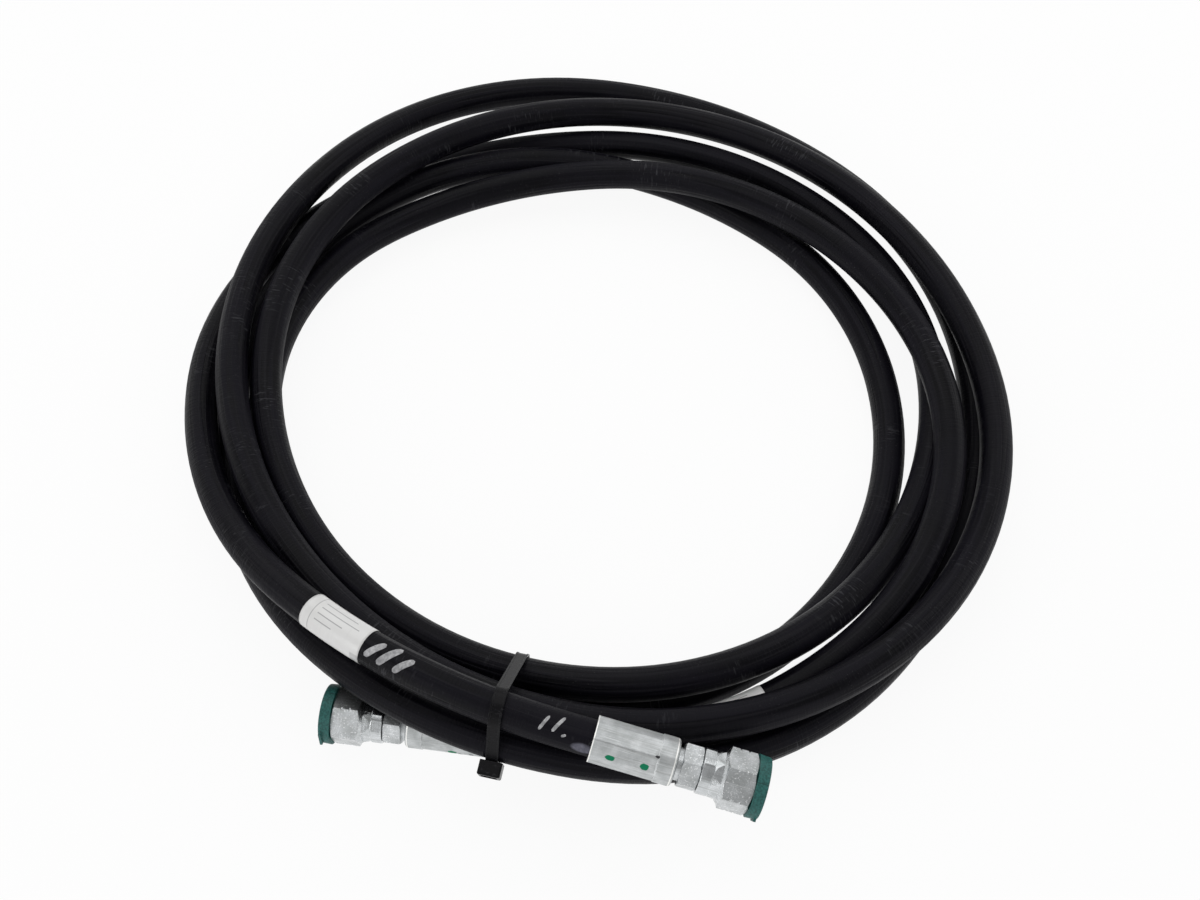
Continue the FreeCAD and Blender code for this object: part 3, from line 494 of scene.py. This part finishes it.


# %% [markdown]
# Three effects come back in most finishes. Grain is a cloud of light and dark patches of any size. Streaks are the
# same cloud pulled long in one direction and cut off at a level, which gives scratches, mould lines or wrap marks.
# Edges compare the face's direction with a rounded-off one, so they find every corner of a hard piece; that gives wear,
# and on the nylon also a painted highlight.

# %% Groups for grain, streaks and edges of wear and painted highlight


def new_group(name, inputs, outputs):
    """A node group with named sockets, given as (name, kind of socket, value) and (name, kind of socket)."""
    group = bpy.data.node_groups.new(name, "ShaderNodeTree")
    for label, kind, value in inputs:
        socket = group.interface.new_socket(label, in_out="INPUT", socket_type=kind)
        if value is not None:
            socket.default_value = value
    for label, kind in outputs:
        group.interface.new_socket(label, in_out="OUTPUT", socket_type=kind)
    given = group.nodes.new("NodeGroupInput").outputs
    result = group.nodes.new("NodeGroupOutput").inputs
    return group, given, result


grain_group, given, result = new_group(
    "grain",
    (("Vector", "NodeSocketVector", None), ("Scale", "NodeSocketFloat", 100.0), ("Spread", "NodeSocketFloat", 0.2)),
    (("Value", "NodeSocketFloat"),))
cloud = add_node(grain_group, "ShaderNodeTexNoise", {"Vector": given["Vector"], "Scale": given["Scale"], "Detail": 4.0})
low = arithmetic(grain_group, "SUBTRACT", 0.5, given["Spread"])
high = arithmetic(grain_group, "ADD", 0.5, given["Spread"])
grain_group.links.new(remap(grain_group, cloud.outputs["Fac"], low, high), result["Value"])

streak_group, given, result = new_group(
    "streaks",
    (("Vector", "NodeSocketVector", None), ("Stretch", "NodeSocketVector", (10.0, 500.0, 500.0)),
     ("Level", "NodeSocketFloat", 0.6), ("Softness", "NodeSocketFloat", 0.1)),
    (("Mask", "NodeSocketFloat"),))
pulled = add_node(streak_group, "ShaderNodeVectorMath", {0: given["Vector"], 1: given["Stretch"]}, operation="MULTIPLY")
cloud = add_node(streak_group, "ShaderNodeTexNoise", {"Vector": pulled.outputs["Vector"], "Scale": 1.0, "Detail": 2.0})
top = arithmetic(streak_group, "ADD", given["Level"], given["Softness"])
streak_group.links.new(remap(streak_group, cloud.outputs["Fac"], given["Level"], top), result["Mask"])

edge_group, given, result = new_group(
    "edge_wear_and_sheen",
    (("Radius", "NodeSocketFloat", 0.0004), ("Vector", "NodeSocketVector", None)),
    (("Mask", "NodeSocketFloat"), ("Normal", "NodeSocketVector")))
rounded = add_node(edge_group, "ShaderNodeBevel", {"Radius": given["Radius"]}, samples=6)
facing = add_node(edge_group, "ShaderNodeNewGeometry")
likeness = add_node(edge_group, "ShaderNodeVectorMath", {
    0: rounded.outputs["Normal"], 1: facing.outputs["Normal"]}, operation="DOT_PRODUCT").outputs["Value"]
rough_edge = add_node(edge_group, "ShaderNodeTexNoise", {"Vector": given["Vector"], "Scale": 500.0}).outputs["Fac"]
edge_amount = remap(edge_group, likeness, 0.99, 0.92)
edge_amount = arithmetic(edge_group, "MULTIPLY", edge_amount, remap(edge_group, rough_edge, 0.3, 0.6))
edge_group.links.new(edge_amount, result["Mask"])
edge_group.links.new(rounded.outputs["Normal"], result["Normal"])


def grain(tree, place, scale, spread):
    """Patches from 0 to 1; scale is in patches per metre, and a small spread makes them hard."""
    return add_node(tree, "ShaderNodeGroup", {"Vector": place, "Scale": scale, "Spread": spread},
                    node_tree=grain_group).outputs["Value"]


def streaks(tree, place, stretch, level, softness):
    """A mask of streaks, long where the stretch is small."""
    return add_node(tree, "ShaderNodeGroup", {
        "Vector": place, "Stretch": stretch, "Level": level, "Softness": softness},
        node_tree=streak_group).outputs["Mask"]


def edge_wear_and_sheen(tree, place, radius):
    """A mask of the piece's corners, for wear and painted highlight, and the direction of a face with its corners
    rounded off.
    """
    edges = add_node(tree, "ShaderNodeGroup", {"Radius": radius, "Vector": place}, node_tree=edge_group)
    return edges.outputs["Mask"], edges.outputs["Normal"]


print("groups:", [group.name for group in bpy.data.node_groups])

# %% [markdown]
# ## Black rubber
# The cover of the hose was wrapped tightly in a wet cloth tape while it was cured, so its skin keeps the tape's fine
# ribs across the hose. On top of that come mould lines along it, small scuffs and a little dust. The pattern reads
# the straight hose, so it bends with the coil and has no seam.

# %% Rubber
rubber, tree, shader = new_material("wrapped_rubber")
skin = straight_coordinates(tree)
patches = grain(tree, skin, 22.0, 0.18)
fine = grain(tree, skin, 1500.0, 0.3)
ribs = streaks(tree, skin, (900.0, 70.0, 70.0), 0.40, 0.22)
mould_lines = streaks(tree, skin, (7.0, 420.0, 420.0), 0.50, 0.10)
bands = streaks(tree, skin, (6.0, 130.0, 130.0), 0.48, 0.07)
nicks = streaks(tree, skin, (800.0, 130.0, 130.0), 0.59, 0.06)
nicks = scaled(tree, nicks, remap(tree, grain(tree, skin, 17.0, 0.14), 0.62, 1.0))
dust = streaks(tree, skin, (1300.0, 1300.0, 1300.0), 0.70, 0.04)
dust = scaled(tree, dust, grain(tree, skin, 15.0, 0.08))
colour = blend(tree, patches, (0.0006, 0.0005, 0.0014), (0.0028, 0.0024, 0.0050))
colour = layer(tree, colour, bands, 0.5, (0.0066, 0.0060, 0.0100))
colour = layer(tree, colour, mould_lines, 0.35, (0.0120, 0.0114, 0.0146))
colour = layer(tree, colour, nicks, 0.7, (0.040, 0.040, 0.045))
colour = layer(tree, colour, dust, 0.5, (0.12, 0.12, 0.12))
print("rubber: ribs, mould lines, bands, nicks and dust")

# %% A bluish grey patch beside the upper ferrule
GREY_PATCH_ALONG = 7.9262
GREY_PATCH_ANGLE = math.radians(31)
GREY_PATCH_REACH = (0.0068, 0.0034, 0.0034)
GREY_PATCH_TONE = (0.16, 0.16, 0.20)
# A bluish grey oval on the rubber beside the upper ferrule, broken up by grain.
grey_patch_place = add_node(tree, "ShaderNodeMapping", {
    "Vector": skin, "Location": (GREY_PATCH_ALONG, HOSE_RADIUS * math.cos(GREY_PATCH_ANGLE), HOSE_RADIUS * math.sin(GREY_PATCH_ANGLE)),
    "Scale": GREY_PATCH_REACH}, vector_type="TEXTURE")
grey_patch_distance = add_node(tree, "ShaderNodeVectorMath", {0: grey_patch_place.outputs["Vector"]}, operation="LENGTH")
grey_patch = remap(tree, grey_patch_distance.outputs["Value"], 1.15, 0.75)
grey_patch = scaled(tree, grey_patch, remap(tree, grain(tree, skin, 420.0, 0.25), 0.0, 1.0, 0.45, 1.0))
feed(tree, shader, Base_Color=blend(tree, grey_patch, colour, GREY_PATCH_TONE))
print("rub mark", GREY_PATCH_ALONG, "m along the hose")

# %% The rubber's relief and gloss
height = weighted_sum(tree, (ribs, 0.5), (mould_lines, 0.6), (fine, 0.3), (nicks, 0.7), (bands, 1.0))
rough = remap(tree, arithmetic(tree, "ADD", patches, bands), 0.0, 2.0, 0.34, 0.60)
feed(tree, shader, Normal=raised(tree, height, 1.0, 0.00020), Roughness=rough)
shader.inputs["Specular IOR Level"].default_value = 0.10
assign(rubber, hose)
print("rubber's roughness from 0.34 to 0.60")

# %% [markdown]
# ## Plated steel
# Ferrules, inserts and nuts are bright zinc plate: a soft grey metal with cloudy patches and a fine speckle. The
# hexagons are forged and coarse, the round parts are turned and smoother. Each fitting lies at its own angle, so a
# Mapping node brings every place into the fitting's own frame, with its first axis along the fitting.

# %% Frames of the two fittings
fitting_frames = {
    "a": (first_place - first_heading * HOSE_DIAMETER, -first_heading),
    "b": (last_place + last_heading * HOSE_DIAMETER, last_heading),
}


def fitting_axes(end):
    """Three square axes: along the fitting, level across it, and up across it."""
    ahead = fitting_frames[end][1]
    level = unit(np.cross(UP, ahead))
    return np.stack([ahead, level, np.cross(ahead, level)])


def fitting_place(tree, end, centre=None, reach=(1.0, 1.0, 1.0)):
    """Places in the fitting's frame, in metres from its mouth or from a centre, divided by a reach."""
    coordinates = add_node(tree, "ShaderNodeTexCoord").outputs["Object"]
    turn = Matrix(fitting_axes(end).tolist()).transposed().to_euler()
    location = fitting_frames[end][0] if centre is None else np.array(centre)
    return add_node(tree, "ShaderNodeMapping", {
        "Vector": coordinates, "Location": tuple(location), "Rotation": tuple(turn), "Scale": reach},
        vector_type="TEXTURE").outputs["Vector"]


print("fitting axes:", {end: fitting_axes(end).round(3).tolist() for end in "ab"})

# %% Tones of the zinc
SLEEVE_ZINC = ((0.45, 0.47, 0.475), (0.68, 0.70, 0.71))
MACHINED_ZINC = ((0.44, 0.46, 0.465), (0.74, 0.765, 0.785))
DARK_SPECK = (0.30, 0.31, 0.30)
EDGE_PIT = (0.10, 0.10, 0.10)
EDGE_ZINC = (0.93, 0.94, 0.95)
PAINTED_HIGHLIGHT_ZINC = (0.97, 0.97, 0.94)
HIGHLIGHT_LINE_HALF = 0.00022
ZONE_FADE = 0.0003
PAINT_GREEN = (0.0, 0.190, 0.088)
SPOT_GREY = (0.06, 0.06, 0.065)
print("zinc tones of ferrules", SLEEVE_ZINC, "and of machined parts", MACHINED_ZINC)

# %% Zinc plate


def paint_spot(tree, end, centre, reach):
    """A mask that is 1 inside a ragged oval."""
    inside = fitting_place(tree, end, centre, reach)
    distance = add_node(tree, "ShaderNodeVectorMath", {0: inside}, operation="LENGTH").outputs["Value"]
    ragged = scaled(tree, grain(tree, inside, 1.6, 0.3), 0.45)
    return remap(tree, arithmetic(tree, "ADD", distance, ragged), 1.25, 1.12)


def zinc_plate(name, end, tones, forged, turned, rim, bright=(), green_spots=(), dark_spots=()):
    """Zinc plate between two tones: coarse between the two forged places along the fitting, smoother elsewhere, with a
    thin painted highlight line round it at each highlight place and an oval of paint at each spot."""
    material, tree, shader = new_material(name)
    place = fitting_place(tree, end)
    ahead = add_node(tree, "ShaderNodeSeparateXYZ", {0: place}).outputs["X"]
    zone = scaled(tree,
                  remap(tree, ahead, forged[0] - ZONE_FADE, forged[0] + ZONE_FADE),
                  remap(tree, ahead, forged[1] + ZONE_FADE, forged[1] - ZONE_FADE))
    clouds = grain(tree, place, 130.0, 0.20)
    speck = grain(tree, place, 1500.0, 0.28)
    scratches = streaks(tree, place, (60.0, 1900.0, 1900.0), 0.60, 0.10)
    rings = streaks(tree, place, (2600.0, 25.0, 25.0), 0.45, 0.20)
    drawn = streaks(tree, place, (22.0, 1150.0, 1150.0), 0.53, 0.10)
    sparkle = scaled(tree, zone, streaks(tree, place, (950.0, 950.0, 950.0), 0.61, 0.04))
    edges, soft_normal = edge_wear_and_sheen(tree, place, rim)
    colour = blend(tree, clouds, *tones)
    colour = layer(tree, colour, speck, remap(tree, zone, 0.0, 1.0, 0.28, 0.50), DARK_SPECK)
    colour = layer(tree, colour, drawn, remap(tree, zone, 0.0, 1.0, 0.34, 0.0), DARK_SPECK)
    colour = layer(tree, colour, scratches, 0.35, EDGE_ZINC)
    colour = layer(tree, colour, sparkle, 0.8, EDGE_ZINC)
    colour = layer(tree, colour, edges, remap(tree, zone, 0.0, 1.0, 0.8, 0.2), EDGE_ZINC)
    pits = scaled(tree, edges, streaks(tree, place, (1500.0, 500.0, 500.0), 0.52, 0.04))
    colour = layer(tree, colour, pits, zone, EDGE_PIT)
    # Painted highlight: a thin near-white line round the ferrule at each place near its rims.
    for line_place in bright:
        beside = arithmetic(tree, "ABSOLUTE", arithmetic(tree, "SUBTRACT", ahead, line_place))
        colour = blend(tree, remap(tree, beside, 2 * HIGHLIGHT_LINE_HALF, HIGHLIGHT_LINE_HALF), colour, PAINTED_HIGHLIGHT_ZINC)
    metal = 1.0
    for centre, reach in dark_spots:
        colour = blend(tree, paint_spot(tree, end, centre, reach), colour, SPOT_GREY)
    for centre, reach in green_spots:
        spot = paint_spot(tree, end, centre, reach)
        colour = blend(tree, spot, colour, PAINT_GREEN)
        metal = arithmetic(tree, "SUBTRACT", metal, spot)
    rough = remap(tree, clouds, 0.0, 1.0, turned + 0.06, turned - 0.02)
    rough = arithmetic(tree, "ADD", rough, scaled(tree, zone, 0.14))
    height = weighted_sum(
        tree,
        (speck, remap(tree, zone, 0.0, 1.0, 0.25, 1.0)),
        (scratches, 0.3),
        (rings, remap(tree, zone, 0.0, 1.0, 0.25, 0.0)))
    feed(tree, shader, Base_Color=colour, Roughness=rough, Normal=raised(tree, height, 0.8, 0.00010, soft_normal))
    if green_spots:
        feed(tree, shader, Metallic=metal)
        shader.inputs["Specular IOR Level"].default_value = 0.2
    else:
        shader.inputs["Metallic"].default_value = 1.0
    return material


# %% Painted highlight lines on the rims of the ferrules
MOUTH_RIM = 0.0004
FAR_RIM = 0.0016


def ends_along(end, node):
    """How far along the fitting a node's two ends lie, from the fitting's mouth."""
    corners = np.empty(len(node.data.vertices) * 3)
    node.data.vertices.foreach_get("co", corners)
    mouth, ahead = fitting_frames[end]
    along = (corners.reshape(-1, 3) - mouth) @ ahead
    return float(along.min()), float(along.max())


highlight_line_places = {}
for end in "ab":
    mouth_end, far_end = ends_along(end, nodes["ferrule_" + end])
    highlight_line_places[end] = (mouth_end + MOUTH_RIM, far_end - FAR_RIM)
print("ferrules' bright lines at", highlight_line_places)

# %% Zinc on the two fittings
# Where a part is forged, in metres from the fitting's mouth. A ferrule isn't, so its place lies past the fitting.
NOWHERE = (0.2, 0.3)
INSERT_HEXAGON = (0.0530, 0.0641)
NUT_HEXAGON = (0.0790, 0.0970)
ferrule_a_zinc = zinc_plate(
    "zinc_ferrule_a", "a", SLEEVE_ZINC, NOWHERE, 0.48, 0.0008, highlight_line_places["a"],
    green_spots=(((-0.08646, -0.26189, 0.01691), (0.0029, 0.0016, 0.0016)),),
    dark_spots=(((-0.08160, -0.26272, 0.01550), (0.0014, 0.0007, 0.0007)),
                ((-0.07469, -0.26360, 0.01632), (0.0016, 0.0007, 0.0007))))
ferrule_b_zinc = zinc_plate(
    "zinc_ferrule_b", "b", SLEEVE_ZINC, NOWHERE, 0.48, 0.0008, highlight_line_places["b"],
    green_spots=(((0.01066, -0.28245, 0.07300), (0.0030, 0.0017, 0.0017)),
                 ((0.03038, -0.28715, 0.07123), (0.0027, 0.0021, 0.0021))),
    dark_spots=(((0.03804, -0.28259, 0.07540), (0.0015, 0.0008, 0.0008)),))
assign(ferrule_a_zinc, nodes["ferrule_a"])
assign(ferrule_b_zinc, nodes["ferrule_b"])
for end in "ab":
    assign(zinc_plate("zinc_insert_" + end, end, MACHINED_ZINC, INSERT_HEXAGON, 0.27, 0.0004), nodes["insert_" + end])
    assign(zinc_plate("zinc_nut_" + end, end, MACHINED_ZINC, NUT_HEXAGON, 0.18, 0.0005), nodes["swivel_nut_" + end])
print("zinc materials:", [material.name for material in bpy.data.materials if material.name.startswith("zinc")])

# %% [markdown]
# ## Dust plugs
# The plugs are moulded from a soft teal plastic with a grainy skin, and a thin mould line runs across the rim where
# the two halves of the mould met. The line could be a groove in the mesh, but it is finer than a face should be, so
# the finish finds it: a plane through the fitting's middle cuts the plug there.

# %% Teal plastic
MOULD_LINE_ANGLE = {"a": math.radians(113.739), "b": math.radians(99.312)}
LINE_HALF = 0.00016


def teal_plastic(end):
    """Plug plastic with a mould line. The line is where the distance from a plane along the fitting is nearly 0;
    the plane stands at an angle about the fitting, measured from the fitting's level axis."""
    material, tree, shader = new_material("teal_plug_" + end)
    place = fitting_place(tree, end)
    angle = MOULD_LINE_ANGLE[end]
    cut = (0.0, -math.sin(angle), math.cos(angle))
    beside = add_node(tree, "ShaderNodeVectorMath", {0: place, 1: cut}, operation="DOT_PRODUCT").outputs["Value"]
    line_mask = remap(tree, arithmetic(tree, "ABSOLUTE", beside), 2 * LINE_HALF, LINE_HALF)
    speck = grain(tree, place, 1700.0, 0.25)
    clouds = grain(tree, place, 750.0, 0.12)
    edges, soft_normal = edge_wear_and_sheen(tree, place, 0.0004)
    colour = blend(tree, clouds, (0.002, 0.040, 0.036), (0.020, 0.122, 0.110))
    colour = layer(tree, colour, speck, 0.5, (0.036, 0.165, 0.150))
    colour = layer(tree, colour, edges, 0.4, (0.05, 0.19, 0.17))
    colour = layer(tree, colour, line_mask, 0.7, (0.003, 0.03, 0.027))
    height = weighted_sum(tree, (speck, 0.4), (line_mask, -1.0))
    feed(tree, shader, Base_Color=colour, Normal=raised(tree, height, 0.6, 0.00012, soft_normal),
         Roughness=remap(tree, speck, 0.0, 1.0, 0.46, 0.6))
    shader.inputs["Specular IOR Level"].default_value = 0.35
    return material


for end in "ab":
    assign(teal_plastic(end), nodes["plug_" + end])
print("mould lines at", {end: round(math.degrees(angle), 1) for end, angle in MOULD_LINE_ANGLE.items()})

# %% [markdown]
# ## Cable tie and seals
# The tie is black nylon, which comes out of its mould glossy and is scuffed a little as it is pulled tight. The
# O-rings are plain black rubber. A scuffed piece could carry its own coordinates as the hose does, but these are small
# and stiff, so their patterns simply read the place in the object.

# %% Black nylon
nylon, tree, shader = new_material("black_nylon")
place = add_node(tree, "ShaderNodeTexCoord").outputs["Object"]
speck = grain(tree, place, 900.0, 0.3)
scuffs = streaks(tree, place, (260.0, 260.0, 1500.0), 0.62, 0.08)
edges, soft_normal = edge_wear_and_sheen(tree, place, 0.0003)
colour = blend(tree, speck, (0.0040, 0.0038, 0.0046), (0.0080, 0.0078, 0.0090))
colour = layer(tree, colour, scuffs, 0.4, (0.035, 0.035, 0.038))
# Lighter corners: wear, and a painted highlight along the strap's edges.
colour = layer(tree, colour, edges, 0.5, (0.05, 0.05, 0.055))
height = weighted_sum(tree, (speck, 0.3), (scuffs, 1.0))
feed(tree, shader, Base_Color=colour, Normal=raised(tree, height, 0.3, 0.00006, soft_normal),
     Roughness=remap(tree, speck, 0.0, 1.0, 0.18, 0.30))
shader.inputs["Specular IOR Level"].default_value = 0.10
assign(nylon, nodes["cable_tie"])
print("nylon on", nodes["cable_tie"].name)

# %% Seal rubber
seal, tree, shader = new_material("seal_rubber")
place = add_node(tree, "ShaderNodeTexCoord").outputs["Object"]
speck = grain(tree, place, 1600.0, 0.3)
feed(tree, shader, Base_Color=blend(tree, speck, (0.008, 0.008, 0.008), (0.016, 0.016, 0.016)),
     Roughness=remap(tree, speck, 0.0, 1.0, 0.38, 0.55))
assign(seal, nodes["o_ring_a"], nodes["o_ring_b"])
print("seal rubber on both O-rings")

# %% [markdown]
# ## Labels and pen paint
# The labels are a white film with a thin line of painted shade near one edge, plain lines, soiled edges and a few
# creases, which are greyed with painted shade. The pen's paint is pale grey and dry in streaks. An image could give
# both, but masks worked out from the straight hose stay sharp at any distance and follow the bend.

# %% Label film
# Where the painted shade line lies from the label's first edge, and its half width
SHADE_LINE_FROM_EDGE = 0.0068
SHADE_LINE_HALF = 0.00022
SOILED_WIDTH = 0.0016
LINE_ENDS_FADE = 0.0002
LINE_OUTER, LINE_INNER = 0.034, 0.022
CORNER_STARTS, CORNER_FULL = 0.0065, 0.0055
CORNER_ANGLES = (math.radians(34), math.radians(28))
# Each plain line's angle round the hose in degrees, and where it starts and stops along the label
LABEL_LINES = ((124, 0.0105, 0.0360), (103, 0.0105, 0.0400), (82, 0.0105, 0.0300), (61, 0.0105, 0.0240))


def label_finish(name, start):
    """White film with one thin line of painted shade near its first edge, plain lines, soiled edges, creases greyed
    with painted shade, and a greyed corner.
    """
    material, tree, shader = new_material(name)
    place = straight_coordinates(tree)
    straight_axes = add_node(tree, "ShaderNodeSeparateXYZ", {0: place}).outputs
    inset = arithmetic(tree, "SUBTRACT", straight_axes["X"], start)
    angle = arithmetic(tree, "ARCTAN2", straight_axes["Z"], straight_axes["Y"])
    from_shade_line = arithmetic(tree, "ABSOLUTE", arithmetic(tree, "SUBTRACT", inset, SHADE_LINE_FROM_EDGE))
    shade_line = remap(tree, from_shade_line, 2 * SHADE_LINE_HALF, SHADE_LINE_HALF)
    from_middle = arithmetic(tree, "ABSOLUTE", arithmetic(tree, "SUBTRACT", inset, LABEL_LENGTH / 2))
    soiled = remap(tree, from_middle, LABEL_LENGTH / 2 - SOILED_WIDTH, LABEL_LENGTH / 2)
    soiled = scaled(tree, soiled, grain(tree, place, 500.0, 0.25))
    clouds = grain(tree, place, 60.0, 0.25)
    fibres = grain(tree, place, 2200.0, 0.3)
    creases = streaks(tree, place, (160.0, 35.0, 35.0), 0.56, 0.10)
    colour = blend(tree, clouds, (0.68, 0.675, 0.665), (0.74, 0.74, 0.735))
    # Painted shade: a thin grey line near the label's first edge.
    colour = layer(tree, colour, shade_line, 0.6, (0.25, 0.25, 0.26))
    for degrees, first, last in LABEL_LINES:
        apart = arithmetic(tree, "ABSOLUTE", arithmetic(tree, "SUBTRACT", angle, math.radians(degrees)))
        length_mask = scaled(tree, remap(tree, inset, first - LINE_ENDS_FADE, first),
                             remap(tree, inset, last, last - LINE_ENDS_FADE))
        line_mask = scaled(tree, remap(tree, apart, LINE_OUTER, LINE_INNER), length_mask)
        colour = layer(tree, colour, line_mask, 0.65, (0.16, 0.16, 0.17))
    corner = scaled(tree, remap(tree, inset, LABEL_LENGTH - CORNER_STARTS, LABEL_LENGTH - CORNER_FULL),
                    remap(tree, angle, *CORNER_ANGLES))
    colour = layer(tree, colour, corner, 0.55, (0.33, 0.33, 0.33))
    colour = layer(tree, colour, soiled, 0.5, (0.35, 0.34, 0.33))
    # Painted shade: the creases are greyed as well as raised.
    colour = layer(tree, colour, creases, 0.12, (0.5, 0.5, 0.5))
    height = weighted_sum(tree, (creases, 1.0), (fibres, 0.15))
    feed(tree, shader, Base_Color=colour, Normal=raised(tree, height, 0.4, 0.00012),
         Roughness=remap(tree, clouds, 0.0, 1.0, 0.30, 0.42))
    shader.inputs["Coat Weight"].default_value = 0.3
    shader.inputs["Coat Roughness"].default_value = 0.15
    return material


assign(label_finish("label_film_a", LABEL_A_START), label_film_a)
assign(label_finish("label_film_b", LABEL_B_START), label_film_b)
print("labels with a rule and", len(LABEL_LINES), "lines each")

# %% Paint pen
paint, tree, shader = new_material("pen_paint")
place = straight_coordinates(tree)
dry = streaks(tree, place, (700.0, 500.0, 500.0), 0.40, 0.25)
clouds = grain(tree, place, 260.0, 0.2)
colour = blend(tree, clouds, (0.26, 0.26, 0.27), (0.55, 0.55, 0.56))
colour = layer(tree, colour, dry, 0.5, (0.11, 0.11, 0.12))
feed(tree, shader, Base_Color=colour, Normal=raised(tree, dry, 0.5, 0.00006),
     Roughness=remap(tree, clouds, 0.0, 1.0, 0.5, 0.7))
assign(paint, *strokes)
print(len(bpy.data.materials), "materials")

# %% [markdown]
# ## Floor and light
# The photograph has a plain white ground. A large plane takes the object's soft shadow. Camera and mirror rays see
# it almost as a plain white card, so the picture's ground is white and the metal reflects white, while the light
# itself stays at a level at which colours come out as they are.

# %% Floor
FLOOR_REACH = 6.0
GROUND_WHITE = 0.92
WHITE_SHARE = 0.92
corners = [(x * FLOOR_REACH, y * FLOOR_REACH, 0) for x, y in ((-1, -1), (1, -1), (1, 1), (-1, 1))]
floor_mesh = bpy.data.meshes.new("floor")
floor_mesh.from_pydata(corners, [], [(0, 1, 2, 3)])
floor = bpy.data.objects.new("floor", floor_mesh)
scene.collection.objects.link(floor)
ground, tree, shader = new_material("white_ground")
shader.inputs["Base Color"].default_value = (GROUND_WHITE, GROUND_WHITE, GROUND_WHITE, 1.0)
shader.inputs["Roughness"].default_value = 0.9
rays = add_node(tree, "ShaderNodeLightPath").outputs
seen = arithmetic(tree, "MAXIMUM", rays["Is Camera Ray"], rays["Is Glossy Ray"])
seen = arithmetic(tree, "MAXIMUM", seen, rays["Is Transmission Ray"])
glow = add_node(tree, "ShaderNodeEmission", {"Color": (1.0, 1.0, 1.0, 1.0), "Strength": 1.0})
mixed = add_node(tree, "ShaderNodeMixShader", {
    0: scaled(tree, seen, WHITE_SHARE), 1: shader.outputs["BSDF"], 2: glow.outputs["Emission"]})
tree.links.new(mixed.outputs[0], tree.nodes["Material Output"].inputs["Surface"])
assign(ground, floor)
print("floor", 2 * FLOOR_REACH, "m wide")

# %% [markdown]
# Three large soft lamps light the coil from above, the right and the left. Lamps alone would leave the metal flat,
# because it mirrors its surroundings more than it shows light. So the world around it is white at the horizon and
# greyer overhead, as a room is under a dim ceiling, and the faces of the fittings that look up come out darker than
# those that look sideways. Seen directly by the camera, the world is plain white.

# %% Lamps


def soft_box(name, place, size, watts):
    """A square lamp that faces the coil."""
    data = bpy.data.lights.new(name, "AREA")
    data.size = size
    data.energy = watts
    light = bpy.data.objects.new(name, data)
    light.location = place
    light.rotation_euler = (-Vector(place)).to_track_quat("-Z", "Y").to_euler()
    scene.collection.objects.link(light)


soft_box("overhead", (-0.3, 0.9, 1.9), 2.4, 18)
soft_box("right_side", (1.6, 0.5, 1.0), 0.8, 4)
soft_box("left_front", (-1.5, -1.2, 0.9), 0.8, 5)
print(len(bpy.data.lights), "lamps")

# %% The world around the coil
CEILING = 0.40
WALL_TOP = 0.2
CEILING_EDGE = 0.8
world = bpy.data.worlds.new("surround")
world.use_nodes = True
tree = world.node_tree
tree.nodes["Background"].inputs["Color"].default_value = (1.0, 1.0, 1.0, 1.0)
direction = add_node(tree, "ShaderNodeTexCoord").outputs["Generated"]
rise = add_node(tree, "ShaderNodeSeparateXYZ", {0: direction}).outputs["Z"]
seen = add_node(tree, "ShaderNodeLightPath").outputs["Is Camera Ray"]
strength = arithmetic(tree, "MAXIMUM", remap(tree, rise, WALL_TOP, CEILING_EDGE, 1.0, CEILING), seen)
tree.links.new(strength, tree.nodes["Background"].inputs["Strength"])
scene.world = world
scene.view_settings.view_transform = "Standard"
print("world at", CEILING, "overhead and 1.0 at the horizon")
